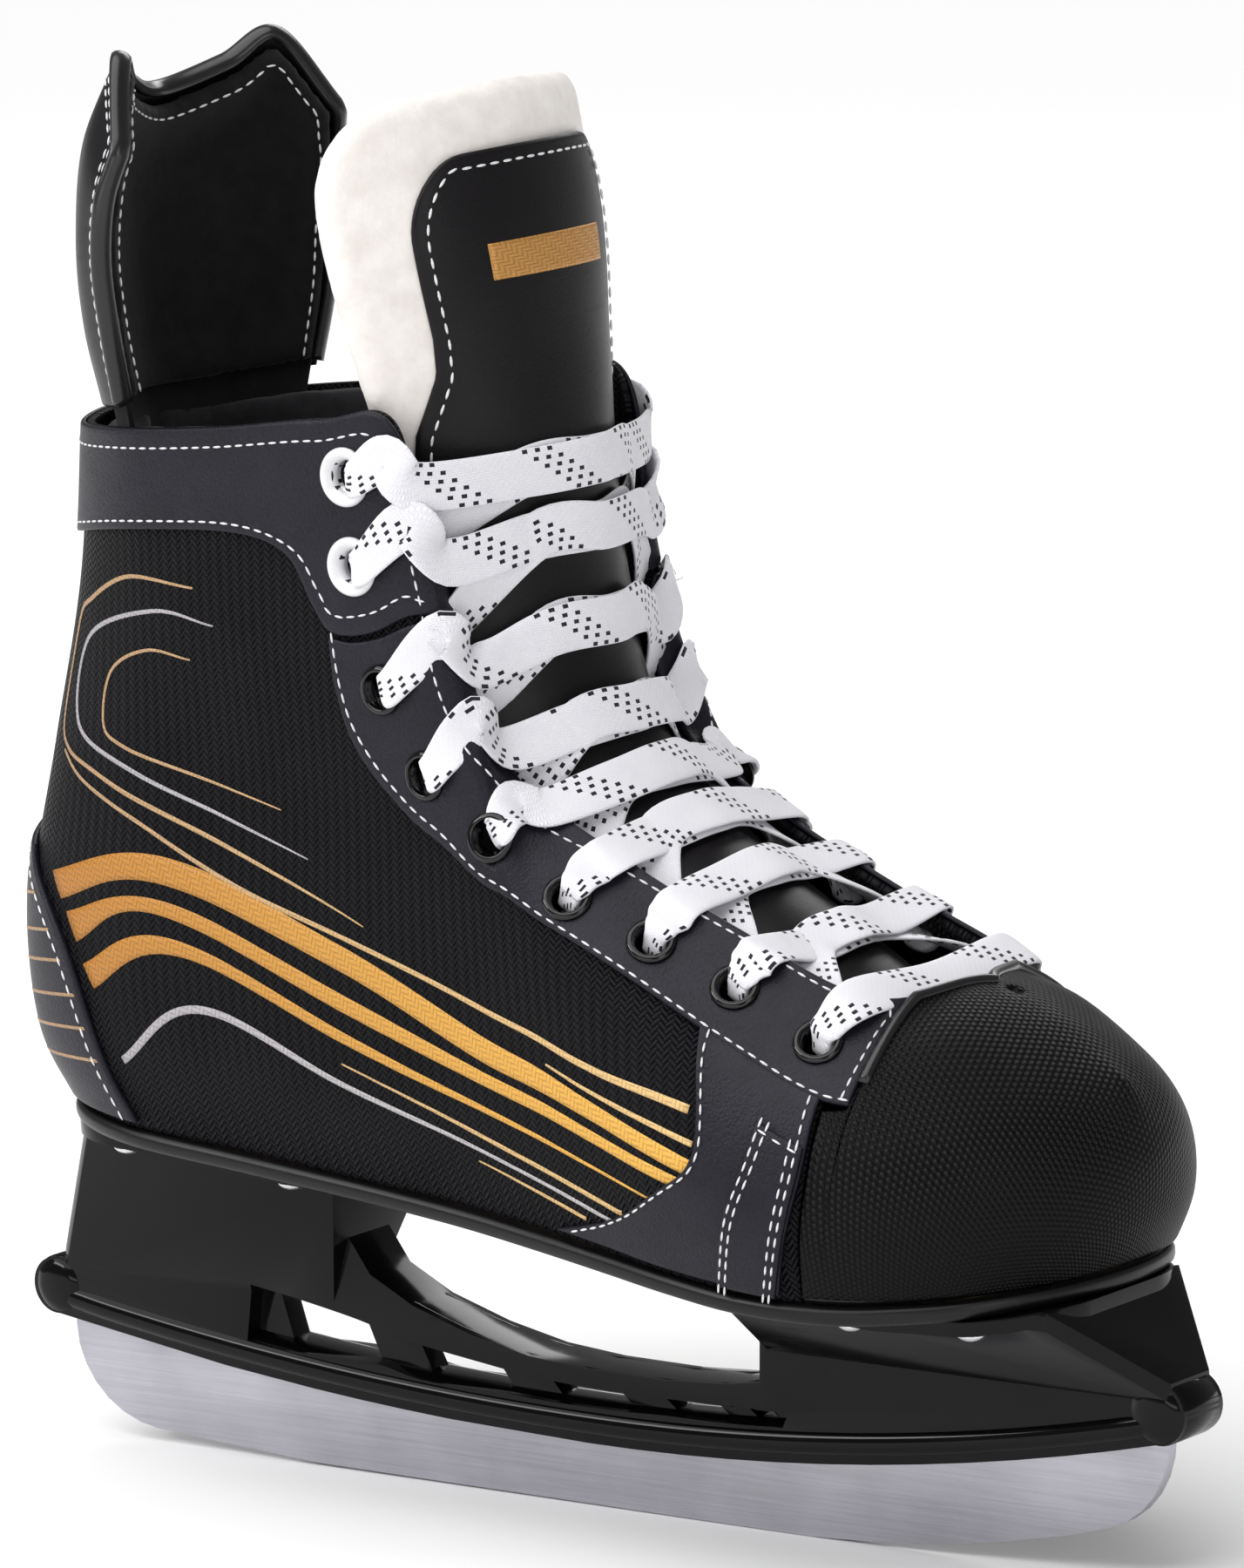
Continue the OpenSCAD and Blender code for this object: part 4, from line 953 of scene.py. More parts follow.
# %% Lines round the heel
HEEL_LINES = [(2.21, 0.96, 2.2), (2.0, 1.2, 2.03), (1.75, 1.43, 1.8), (1.54, 1.56, 1.6), (1.29, 1.69, 1.36),
              (1.04, 1.76, 1.1), (0.75, 1.84, 0.81)]
for side_name, side in SIDES.items():
    parts = [ribbon(side, [(0.01, v - 0.1, 0.7), (0.6, v - 0.05, 0.7), (end_u - 0.05, end_v - 0.01, 0.7),
                           (end_u, end_v, 0.6)],
                    tan_print, GAP + LEATHER + 0.1) for v, end_u, end_v in HEEL_LINES]
    heel_lines = joined(parts, "heel_lines_" + side_name)
    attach(heel_lines, "root")
print(len(HEEL_LINES), "lines round the heel")

# %% Back stay
# A narrow strip of leather covers the seam where the two quarters meet behind the heel.
strip_u, dip_u = rolled_fractions(11, 0.7)
strip_v, dip_v = rolled_fractions(62, 1.5)
su, sv = np.meshgrid(-0.3 + 0.6 * strip_u, 2.42 + 1.68 * strip_v, indexing="ij")
strip_dip = np.maximum(dip_u[:, None], dip_v[None]) * 0.4
back_stay = sheet_piece("back_stay_leather", round_heel(su, sv, 1.2 - strip_dip),
                        round_heel(su, sv, np.full(su.shape, 0.05)),
                        slate)
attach(back_stay, "root")

# %% [markdown]
# ## Copies by Geometry Nodes
# Stitches, eyelets and rivets repeat many times. Two small node trees make them. One resamples a path and
# puts a thread stitch on each point, turned along the path. The other puts a template on each given point,
# turned to its facing direction. Both end in real geometry, which is then kept as a plain mesh.


# %% Geometry node helpers
def geometry_tree(name, inputs):
    """A geometry node tree with one geometry in, one out, and these extra inputs."""
    tree = bpy.data.node_groups.new(name, "GeometryNodeTree")
    tree.interface.new_socket(name="Geometry", in_out="INPUT", socket_type="NodeSocketGeometry")
    for socket, kind in inputs.items():
        tree.interface.new_socket(name=socket, in_out="INPUT", socket_type=kind)
    tree.interface.new_socket(name="Geometry", in_out="OUTPUT", socket_type="NodeSocketGeometry")
    return tree, tree.nodes.new("NodeGroupInput").outputs, tree.nodes.new("NodeGroupOutput").inputs


def facing_rotation(tree, tangent=None):
    """The rotation that turns z to the point's facing, and x to the tangent where there is one."""
    facing = node(tree, "GeometryNodeInputNamedAttribute", {"Name": "facing"}, data_type="FLOAT_VECTOR")
    turning = node(tree, "FunctionNodeAxesToRotation", primary_axis="Z", secondary_axis="X")
    tree.links.new(facing.outputs["Attribute"], turning.inputs[0])
    if tangent is None:
        tangent = node(tree, "GeometryNodeInputNamedAttribute", {"Name": "along"},
                       data_type="FLOAT_VECTOR").outputs["Attribute"]
    tree.links.new(tangent, turning.inputs[1])
    return turning.outputs[0]


def stitch_tree():
    tree, given, result = geometry_tree("stitch_line", {
        "Spacing": "NodeSocketFloat", "Length": "NodeSocketFloat", "Width": "NodeSocketFloat",
        "Thread": "NodeSocketMaterial"})
    curve = node(tree, "GeometryNodeMeshToCurve", {"Mesh": given["Geometry"]})
    points = node(tree, "GeometryNodeResampleCurve", {"Curve": curve.outputs[0]}, mode="LENGTH")
    tree.links.new(given["Spacing"], points.inputs["Length"])
    bead = node(tree, "GeometryNodeMeshUVSphere", {"Segments": 8, "Rings": 5, "Radius": 0.5})
    size = node(tree, "ShaderNodeCombineXYZ", {"X": given["Length"], "Y": given["Width"],
                                               "Z": given["Width"]})
    stitch = node(tree, "GeometryNodeTransform", {"Geometry": bead.outputs["Mesh"], "Scale": size.outputs[0]})
    tangent = node(tree, "GeometryNodeInputTangent").outputs[0]
    placed = node(tree, "GeometryNodeInstanceOnPoints", {
        "Points": points.outputs[0], "Instance": stitch.outputs[0],
        "Rotation": facing_rotation(tree, tangent)})
    real = node(tree, "GeometryNodeRealizeInstances", {"Geometry": placed.outputs[0]})
    shaded = node(tree, "GeometryNodeSetShadeSmooth", {"Geometry": real.outputs[0]})
    painted = node(tree, "GeometryNodeSetMaterial", {"Geometry": shaded.outputs[0],
                                                     "Material": given["Thread"]})
    tree.links.new(painted.outputs[0], result["Geometry"])
    return tree


def template_tree():
    tree, given, result = geometry_tree("template_on_points", {
        "Template": "NodeSocketObject", "Finish": "NodeSocketMaterial"})
    template = node(tree, "GeometryNodeObjectInfo", {"Object": given["Template"]})
    placed = node(tree, "GeometryNodeInstanceOnPoints", {
        "Points": given["Geometry"], "Instance": template.outputs["Geometry"],
        "Rotation": facing_rotation(tree)})
    real = node(tree, "GeometryNodeRealizeInstances", {"Geometry": placed.outputs[0]})
    painted = node(tree, "GeometryNodeSetMaterial", {"Geometry": real.outputs[0],
                                                     "Material": given["Finish"]})
    tree.links.new(painted.outputs[0], result["Geometry"])
    return tree


STITCH_TREE, TEMPLATE_TREE = stitch_tree(), template_tree()


def point_mesh(name, lines, attributes):
    """A mesh of points in millimetres; each line of points is joined by edges where it has more than one."""
    mesh = bpy.data.meshes.new(name)
    edges, start = [], 0
    for line in lines:
        edges += [(start + i, start + i + 1) for i in range(len(line) - 1)]
        start += len(line)
    mesh.from_pydata((np.concatenate(lines) * MM).tolist(), edges, [])
    for attribute, values in attributes.items():
        made = mesh.attributes.new(attribute, "FLOAT_VECTOR", "POINT")
        made.data.foreach_set("vector", np.concatenate(values).ravel())
    return link(name, mesh)


def applied(piece):
    """Turns the piece's modifiers into plain mesh."""
    mesh = bpy.data.meshes.new_from_object(piece.evaluated_get(bpy.context.evaluated_depsgraph_get()))
    piece.modifiers.clear()
    piece.data = mesh
    return piece


def run_tree(carrier, tree, values):
    """Runs the tree on the carrier with these inputs and keeps the result as plain mesh."""
    modifier = carrier.modifiers.new("nodes", "NODES")
    modifier.node_group = tree
    for item in tree.interface.items_tree:
        if item.in_out == "INPUT" and item.name in values:
            modifier[item.identifier] = values[item.name]
    return applied(carrier)


# %% Stitching
def sewn(name, lines, facings, spacing=3.1, length=2.35, width=0.5):
    """Thread stitches along lines of points, facing away from the surface."""
    carrier = point_mesh(name, lines, {"facing": facings})
    return run_tree(carrier, STITCH_TREE, {"Spacing": spacing * MM, "Length": length * MM,
                                           "Width": width * MM,
                                           "Thread": thread})


def seam(side, route, height, count=160):
    """A line of stitches on the boot: points and facings along a smooth route of (u, v)."""
    line = along_line(route, np.linspace(0, 1, count))
    return skin(side, line[:, 0], line[:, 1], np.full(count, height)), last_normal(side, line[:, 0],
                                                                                   line[:, 1])


def inset(route, du, dv):
    return [(u + du, v + dv) for u, v in route]


ON_LEATHER = GAP + LEATHER + 0.08
ON_TAB = ON_LEATHER + LEATHER
CUFF_TOP_SEAM = [(0.1, 4.84), (2.0, 4.85), (4.2, 4.86), (4.7, 4.85), (4.92, 4.8), (5.05, 4.68), (5.16, 4.5),
                 (5.32, 4.32)]
CUFF_LOW_SEAM = [(0.1, 4.2), (0.7, 4.3), (1.6, 4.4), (2.6, 4.45), (3.3, 4.44), (3.82, 4.32), (4.07, 4.12),
                 (4.23, 4.01),
                 (4.7, 4.05), (5.15, 4.24), (5.32, 4.32)]
STAY_REAR_SEAM = [(4.17, 3.9), (4.19, 3.63), (4.27, 3.41), (4.52, 3.17), (4.92, 3.01), (5.74, 2.97),
                  (7.18, 3.39),
                  (8.08, 3.48), (8.71, 3.5), (9.33, 3.45), (10.22, 3.28)]
STAY_FRONT_SEAM = [(5.36, 4.24), (5.47, 4.0), (5.75, 3.9), (6.4, 4.05), (7.49, 4.62), (8.23, 4.82),
                   (9.06, 4.88),
                   (9.75, 4.86), (10.2, 4.8), (10.22, 4.2), (10.2, 3.35)]
VAMP_REAR_SEAM = inset([(6.55, 0.2), (7.1, 0.42), (7.69, 0.75), (8.37, 1.32), (8.61, 1.74), (8.7, 2.3),
                        (8.73, 3.1),
                        (8.76, 3.4)], 0.07, 0)
VAMP_FRONT_SEAM = inset([(9.74, 0.2), (9.9, 1.3), (9.96, 2.3), (9.96, 3.2)], -0.07, 0)
TAB_SEAMS = [inset(TAB_REAR, 0.05, 0), inset(TAB_REAR, 0.13, -0.02), inset(TAB_FRONT, -0.06, 0),
             inset(TAB_FRONT, -0.14, 0),
             [(9.52, 2.5), (9.86, 2.39)]]
HEEL_SEAM = inset([(2.1, 0.25), (2.0, 0.6), (1.74, 1.5), (1.45, 1.95), (0.98, 2.33)], -0.09, -0.06)
HEEL_TOP = [(0.93, 2.28), (0.5, 2.38), (0.02, 2.4)]

for side_name, side in SIDES.items():
    on_leather = [CUFF_TOP_SEAM, CUFF_LOW_SEAM, STAY_REAR_SEAM, STAY_FRONT_SEAM, VAMP_REAR_SEAM,
                  VAMP_FRONT_SEAM, HEEL_SEAM,
                  HEEL_TOP]
    seams = [seam(side, route, ON_LEATHER) for route in on_leather]
    seams += [seam(side, route, ON_TAB, 60) for route in TAB_SEAMS]
    seams.append(seam(side, [(0.22, 2.5), (0.22, 3.3), (0.22, 4.05)], 1.28, 80))
    piece = sewn("stitching_" + side_name, [points for points, _ in seams], [facings for _, facings in seams])
    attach(piece, "root")
    print(piece.name, len(piece.data.polygons) // 40, "stitches")

# %% Loose thread ends
FRAYS = [((5.42, 4.24), (1.6, 1.2), (3.4, -0.6)), ((5.44, 4.2), (2.2, -0.4), (4.6, 0.8)),
         ((5.4, 4.18), (1.0, -1.4), (2.6, -2.6))]


def frayed(side):
    """Short cut ends of thread, standing away from the corner of the cuff."""
    lines, facings = [], []
    for (u, v), bend, end in FRAYS:
        start, facing = skin(side, u, v, 2.0), last_normal(side, u, v)
        t = np.linspace(0, 1, 24)[:, None]
        across = np.array([1, 0, 0]) * (t * 2 * (1 - t) * bend[0] + t * t * end[0])
        rise = np.array([0, 0, 1]) * (t * 2 * (1 - t) * bend[1] + t * t * end[1])
        lines.append(start + across + rise + facing * t * (1 - t) * 2.4)
        facings.append(np.tile(facing, (24, 1)))
    return sewn("loose_threads_" + ("near" if side == NEAR else "far"), lines, facings, 0.5, 0.75, 0.3)


for side in (NEAR, FAR):
    piece = frayed(side)
    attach(piece, "root")

# %% [markdown]
# ## Eyelets
# An eyelet is a short brass tube with a domed flange, pressed through the leather and enamelled. Its
# profile is turned round its own axis once, and the template is copied to each lacing point.


# %% Turned shapes
def lathed(profile, turns=48):
    """A closed surface of revolution about z from a closed profile of (radius, height), in millimetres."""
    profile = np.asarray(profile, float)
    angles = np.linspace(0, 2 * math.pi, turns, endpoint=False)
    points = np.stack([np.outer(np.cos(angles), profile[:, 0]), np.outer(np.sin(angles), profile[:, 0]),
                       np.tile(profile[:, 1], (turns, 1))], -1).reshape(-1, 3)
    count = len(profile)
    i, j = np.meshgrid(np.arange(turns), np.arange(count), indexing="ij")
    after_i, after_j = (i + 1) % turns, (j + 1) % count
    faces = np.stack([i * count + j, after_i * count + j, after_i * count + after_j, i * count + after_j], -1)
    return points, faces.reshape(-1, 4)


def eyelet_profile(flange):
    bore = EYELET_BORE / 2
    return [(bore, -2.6), (bore + 0.1, -0.7), (bore + 0.45, 0.05), (bore + 0.95, 0.6), (flange - 1.5, 1.0),
            (flange - 1.0, 1.14), (flange - 0.5, 1.0), (flange - 0.12, 0.6), (flange, 0.15),
            (flange - 0.1, -0.1),
            (bore + 1.2, -0.1), (bore + 0.6, -2.6)]


def copied(name, template, places, facings, alongs, finish):
    """Copies a template to each place, with its z to the facing."""
    carrier = point_mesh(name, [np.array([p]) for p in places],
                         {"facing": [np.array(facings)], "along": [np.array(alongs)]})
    return run_tree(carrier, TEMPLATE_TREE, {"Template": template, "Finish": finish})


for level_name, lacing, flange, finish, slot in (("top", TOP_EYELETS, 6.2, white_enamel, "white_enamel"),
                                                 ("low", LOW_EYELETS, 5.25, black_enamel, "black_enamel")):
    points, faces = lathed(eyelet_profile(flange))
    template = mesh_piece("eyelet_template", points, faces, finish)
    for side_name, side in SIDES.items():
        places = [skin(side, u, v, GAP + LEATHER + 0.05) for u, v in lacing]
        facings = [last_normal(side, u, v) for u, v in lacing]
        piece = copied(f"eyelets_{level_name}_enamel_{side_name}", template, places, facings,
                       [(1, 0, 0.3)] * len(lacing), finish)
        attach(piece, "root")
        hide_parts(f"eyelets_{level_name}_{side_name}")
    bpy.data.objects.remove(template)
print("eyelet bore %.1f mm" % EYELET_BORE)

# %% [markdown]
# ## Tongue
# The tongue is thick white wool felt with a leather facing sewn on. It lies under the lace, and its top
# stands free above the collar, so it bends at the top lace. Its surface is a ruled one: a line up the
# middle, a half width, and how far the edges fall back round the ankle.

# %% The surface of the tongue
TONGUE = np.array([[88, 112, 20, 8], [58, 130, 25, 11], [30, 148, 30, 14], [12, 168, 32, 18],
                   [6, 195, 34, 22],
                   [4, 220, 35, 24], [1, 243, 41, 24], [-2, 268, 46, 24], [-8, 300, 46, 22]], float)
TONGUE_END = len(TONGUE) - 1
WIDE_TONGUE = np.concatenate([2 * TONGUE[:1] - TONGUE[1:2], TONGUE, 2 * TONGUE[-1:] - TONGUE[-2:-1]])


def tongue_line(s):
    k = np.clip(np.floor(s), 0, TONGUE_END - 1).astype(int)
    weights = spline_weights(s - k)
    return sum(weights[..., a, None] * WIDE_TONGUE[k + a] for a in range(4))


def tongue_at(s, w):
    s, w = np.broadcast_arrays(np.asarray(s, float), np.asarray(w, float))
    line = tongue_line(s)
    before, after = tongue_line(np.clip(s - 0.02, 0, TONGUE_END)), tongue_line(np.clip(s + 0.02, 0,
                                                                                       TONGUE_END))
    along = unit((after - before)[..., :2])
    fall = line[..., 3] * np.abs(w) ** 2.1
    x = line[..., 0] - along[..., 1] * fall
    return np.stack([x, w * line[..., 2] + turn(x), line[..., 1] + along[..., 0] * fall], -1)


def tongue_normal(s, w):
    step = 0.02
    a, b = np.clip(s, step, TONGUE_END - step), np.clip(w, -0.98, 0.98)
    return unit(np.cross(tongue_at(a, b + step) - tongue_at(a, b - step),
                         tongue_at(a + step, b) - tongue_at(a - step, b)))


def tongue_skin(s, w, d):
    return tongue_at(s, w) + np.asarray(d, float)[..., None] * tongue_normal(s, w)


def bend_tongue(piece):
    """Bakes the piece's placement into its mesh; the piece is not bent."""
    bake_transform(piece)


print("tongue length %.0f mm" % length_of(tongue_at(np.linspace(0, TONGUE_END, 80), 0.0)))

# %% Felt of the tongue
FELT_TOP, FELT_BACK = -1.8, -10.8


def felt_half(s):
    """Half width at s, as a share of the tongue's own, with round top corners."""
    corner = np.clip((s - 7.45) / 0.55, 0, 1)
    return np.interp(s, [0.1, 6], [0.95, 1.0]) * (1 - 0.34 * (1 - np.sqrt(1 - corner**2)))


def rounded_section(half, top, back, radius):
    """A flat loop with round edges: (sideways, height) points for a half width and two faces."""
    corner = np.linspace(0, math.pi / 2, 7)
    flat_side = half - radius
    sine, cosine = radius * np.sin(corner), radius * np.cos(corner)
    face = np.linspace(-flat_side, flat_side, 22)
    upper, lower = np.stack([face, np.full(22, top)], -1), np.stack([face[::-1], np.full(22, back)], -1)
    right_top = np.stack([flat_side + sine, top - radius + cosine], -1)
    right_back = np.stack([flat_side + cosine, back + radius - sine], -1)
    left_back = np.stack([-flat_side - sine, back + radius - cosine], -1)
    left_top = np.stack([-flat_side - cosine, top - radius + sine], -1)
    return np.concatenate([upper, right_top[1:], right_back[1:-1], lower, left_back[1:], left_top[1:-1]])


def lofted(rings):
    """A closed skin through rings with the same number of points, with its two ends capped."""
    rings = np.asarray(rings)
    rows, count = rings.shape[:2]
    i, j = np.meshgrid(np.arange(rows - 1), np.arange(count), indexing="ij")
    after = (j + 1) % count
    faces = np.stack([i * count + j, (i + 1) * count + j, (i + 1) * count + after, i * count + after],
                     -1).reshape(-1, 4)
    ends = [list(range(count)), list(range(rows * count - 1, (rows - 1) * count - 1, -1))]
    return rings.reshape(-1, 3), faces.tolist() + ends


def felt_rings():
    rings = []
    plain = [(s, 0.0) for s in np.linspace(0.1, 7.86, 96)]
    rounded_end = [(7.86 + 0.14 * math.sin(a), 3.4 * (1 - math.cos(a)))
                   for a in np.linspace(0.2, math.pi / 2, 7)]
    for s, pull in plain + rounded_end:
        width = tongue_line(np.array(s))[2]
        half = felt_half(np.array(s)) * width - pull
        section = rounded_section(half, FELT_TOP - pull, FELT_BACK + pull, 3.6 - 0.6 * pull)
        rings.append(tongue_skin(np.full(len(section), s), section[:, 0] / width, section[:, 1]))
    return rings


def outward(piece, weld=0.0):
    """Turns the faces of a closed piece outwards, after joining points nearer than weld, in metres."""
    with edited(piece.data) as whole:
        if weld:
            bmesh.ops.remove_doubles(whole, verts=whole.verts, dist=weld)
        bmesh.ops.recalc_face_normals(whole, faces=whole.faces)
    return piece


tongue_felt = outward(mesh_piece("tongue_felt", *lofted(felt_rings()), felt))
print("felt thickness %.1f mm" % (FELT_TOP - FELT_BACK))

# %% [markdown]
# Felt gives a little: it swells between its stitches and its faces are never quite flat. A short cloth
# simulation with pressure inside finds that shape. It starts from an even mesh of small voxels, and the
# swelling is capped, so the felt stays in its own space.


# %% Swelling a pad
SWELLING_FRAMES = 20


def swollen(piece, voxel, pressure, cap):
    """Remeshes a closed pad, swells it by cloth simulation, and keeps each point within cap of its start."""
    remesh = piece.modifiers.new("even", "REMESH")
    remesh.mode = "VOXEL"
    remesh.voxel_size = voxel * MM
    bpy.context.view_layer.update()
    mesh = applied(piece).data
    start = np.empty(len(mesh.vertices) * 3)
    mesh.vertices.foreach_get("co", start)
    cloth_modifier = piece.modifiers.new("cloth", "CLOTH")
    settings = cloth_modifier.settings
    settings.use_pressure = True
    settings.uniform_pressure_force = pressure
    settings.effector_weights.gravity = 0
    settings.tension_stiffness = settings.compression_stiffness = 40
    settings.bending_stiffness = 4
    cloth_modifier.point_cache.frame_end = SWELLING_FRAMES
    scene = bpy.context.scene
    for frame_number in range(1, SWELLING_FRAMES + 1):
        scene.frame_set(frame_number)
    evaluated = piece.evaluated_get(bpy.context.evaluated_depsgraph_get())
    end = np.empty(len(start))
    evaluated.data.vertices.foreach_get("co", end)
    piece.modifiers.clear()
    scene.frame_set(1)
    move = (end - start).reshape(-1, 3)
    size = np.linalg.norm(move, axis=1, keepdims=True)
    move *= np.minimum(1, cap * MM / np.maximum(size, 1e-9))
    mesh.vertices.foreach_set("co", (start.reshape(-1, 3) + move).ravel())
    mesh.polygons.foreach_set("use_smooth", [True] * len(mesh.polygons))
    print(piece.name, "swelled by up to %.2f mm" % (np.linalg.norm(move, axis=1).max() / MM))
    return piece


def keep_finish(piece, finish):
    piece.data.materials.clear()
    piece.data.materials.append(finish)


swollen(tongue_felt, 2.6, 3.0, 0.35)
tongue_felt.modifiers.new("smooth", "SUBSURF").levels = 1
applied(tongue_felt)
keep_finish(tongue_felt, felt)
bend_tongue(tongue_felt)
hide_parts("tongue_felt_lower", "tongue_felt_upper")

# %% Leather facing of the tongue
FACING_TOP, FACING_BOTTOM = 7.6, 0.3


def facing_half(s):
    """Wide under the lace, narrower on the free top, with round top corners."""
    corner = np.clip((s - 7.08) / 0.52, 0, 1)
    return np.interp(s, [4.9, 5.5, 6.0, 6.3], [0.94, 0.86, 0.72, 0.7]) - 0.27 * (1 - np.sqrt(1 - corner**2))


def facing_sheet():
    """The facing, raised a little in its middle, with its rim turned down."""
    fractions, dip_s = rolled_fractions(240, 2.2)
    ends = 1 - np.cumsum([0, 0.0012, 0.002, 0.003, 0.004])[::-1]
    fractions = np.unique(np.concatenate([fractions, ends]))
    dip_s = np.interp(fractions, [0, 0.003, 0.997, 1], [1, 0, 0, 1])
    t, dip_t = rolled_fractions(56, 2.0)
    s = FACING_BOTTOM + (FACING_TOP - FACING_BOTTOM) * fractions
    w = facing_half(s)[:, None] * (2 * t - 1)[None]
    dip = np.maximum(dip_s[:, None], dip_t[None]) * 0.5
    s = np.broadcast_to(s[:, None], w.shape)
    crown = 0.5 * (1 - (2 * t - 1) ** 4)[None]
    return tongue_skin(s, w, crown - dip - 0.4), tongue_skin(s, w, np.full(w.shape, -1.4))


tongue_facing = sheet_piece("tongue_facing", *facing_sheet(), black_leather)
bend_tongue(tongue_facing)
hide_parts("tongue_facing_lower", "tongue_facing_upper")

rise = np.concatenate([np.linspace(1.0, 7.08, 120), 7.08 + 0.43 * np.sin(np.linspace(0.05, 1.45, 24))])
edge_w = facing_half(np.minimum(rise + 0.03, FACING_TOP)) - 0.055
left_edge = np.stack([rise, -edge_w], -1)
across_top = np.stack([np.full(20, rise[-1]), np.linspace(-edge_w[-1], edge_w[-1], 22)[1:-1]], -1)
outline = np.concatenate([left_edge, across_top, left_edge[::-1] * [1, -1]])
facing_seam = tongue_skin(outline[:, 0], outline[:, 1], np.full(len(outline), 0.12))
stitches = sewn("tongue_stitching", [facing_seam], [tongue_normal(outline[:, 0], outline[:, 1])], 3.4, 2.5,
                0.6)
bend_tongue(stitches)

# %% Plain band on the facing
band_s, band_w = np.meshgrid(np.linspace(6.72, 7.0, 14), np.linspace(-0.4, 0.4, 40), indexing="ij")
near_edge = np.minimum.reduce([(band_s - 6.72) / 0.02, (7.0 - band_s) / 0.02, (band_w + 0.4) / 0.02,
                               (0.4 - band_w) / 0.02])
band_dip = np.clip(1 - near_edge, 0, 1) * 0.2
band_flat = np.stack([band_w, band_s], -1) * 0.04
tongue_band = sheet_piece("tongue_band", tongue_skin(band_s, band_w, 0.5 - band_dip),
                          tongue_skin(band_s, band_w, np.full(band_s.shape, -0.3)), bronze_band, None,
                          band_flat)
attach(tongue_band, "tongue_flap")
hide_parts("tongue_badge")
print("tongue pieces done")

# %% [markdown]
# ## Lace
# One flat lace is threaded from the top eyelet down one side, across the bottom bar and up the other side.
# It comes out through an eyelet, crosses the tongue and dives under the other lacing edge to the next
# eyelet. Each key on its route has a place, a facing direction, a width and a thickness. The lace is pulled
# tight, so it has no free end that hangs.

# %% Route of the lace
CROSS_S = [5.05, 4.5, 3.75, 3.05, 2.5, 2.0, 1.45, 0.8]
LACING = TOP_EYELETS + LOW_EYELETS
BOTTOM = len(LACING) - 1
FULL, ON_EDGE, IN_HOLE = (10.0, 1.1), (7.4, 1.4), (5.2, 2.2)


def tight_edge(side, crossing, eyelet):
    """Station on the lacing edge where a lace pulled tight between a crossing and an eyelet passes."""
    u = np.linspace(5.12, 9.96, 240)
    edge = last_at(side, u, 4.9)
    route = np.linalg.norm(edge - crossing, axis=1) + np.linalg.norm(edge - last_at(side, *LACING[eyelet]),
                                                                     axis=1)
    return u[np.argmin(route)]


def out_of_eyelet(side, k, flip, crossing):
    """Keys up through eyelet k, along the leather and over the lacing edge."""
    edge_u = tight_edge(side, crossing, k)
    facing = last_normal(side, *LACING[k])
    across = last_at(side, edge_u, 4.9) - last_at(side, *LACING[k])
    across = unit(across - (across @ facing) * facing)
    keys = [(skin(side, *LACING[k], -2.7) + 0.3 * across, flip * across, IN_HOLE),
            (skin(side, *LACING[k], 1.2) + 1.2 * across, flip * across, IN_HOLE),
            (skin(side, *LACING[k], 3.0) + 3.4 * across, -flip * facing, ON_EDGE)]
    start, end = np.array(LACING[k]), np.array([edge_u, 4.88])
    if k < BOTTOM:
        u, v = start + 0.62 * (end - start)
        keys.append((skin(side, u, v, 2.9), -flip * last_normal(side, u, v), FULL))
    return keys + [(skin(side, edge_u, 4.88, 2.9), -flip * last_normal(side, edge_u, 4.8), FULL)]


def one_run(side, k, over, flip):
    keys = out_of_eyelet(side, k, flip, tongue_at(CROSS_S[k], 0.45 * side))
    for w, high, low in ((0.45, 4.0, 2.6), (0.0, 3.6, 1.6), (-0.45, 2.8, 1.6)):
        keys.append((tongue_skin(CROSS_S[k], w * side, high if over else low),
                     -flip * tongue_normal(CROSS_S[k], w * side), FULL))
    edge_u = tight_edge(-side, tongue_at(CROSS_S[k], -0.45 * side), k + 1)
    under = skin(-side, edge_u, 4.85, -3.1)
    return keys + [(under, -flip * last_normal(-side, edge_u, 4.8), FULL)]


def half_lace(first):
    keys = [(skin(first, 4.11, 3.97, -3.7), -last_normal(first, *LACING[0]), FULL),
            (skin(first, 4.26, 4.42, -4.1), -last_normal(first, *LACING[0]), (8.0, 1.3))]
    for k in range(BOTTOM):
        keys += one_run(first if k % 2 == 0 else -first, k, first == NEAR, 1 if k % 2 == 0 else -1)
    return keys + out_of_eyelet(first, BOTTOM, 1, tongue_at(0.12, 0.0))


bar = [(tongue_skin(0.12, 0.0, 7.0), -tongue_normal(0.3, 0.0), FULL)]
ROUTE = half_lace(NEAR) + bar + half_lace(FAR)[::-1]
print(len(ROUTE), "keys on the lace's route")

# %% Flat woven lace
LACE_STEPS = 9


def smooth_route():
    """Centres, facings and sections along the whole lace."""
    points, facings, sizes = (np.array(column) for column in zip(*ROUTE))
    wide = np.concatenate([points[:1], points, points[-1:]])
    t = np.arange(LACE_STEPS) / LACE_STEPS
    weights, ease = spline_weights(t), (t * t * (3 - 2 * t))[:, None]
    spans = range(len(ROUTE) - 1)
    centres = [weights @ wide[i:i + 4] for i in spans] + [points[-1:]]
    turned, sections = ([values[i] * (1 - ease) + values[i + 1] * ease for i in spans] + [values[-1:]]
                        for values in (facings, sizes))
    return np.concatenate(centres), np.concatenate(turned), np.concatenate(sections)


def squared_circle(count, across_power, up_power):
    """Points round a circle, from -1 to 1 both ways, with its sides squared off."""
    angle = np.linspace(0, 2 * math.pi, count, endpoint=False)
    across, up = np.cos(angle), np.sin(angle)
    return np.sign(across) * np.abs(across) ** across_power, np.sign(up) * np.abs(up) ** up_power


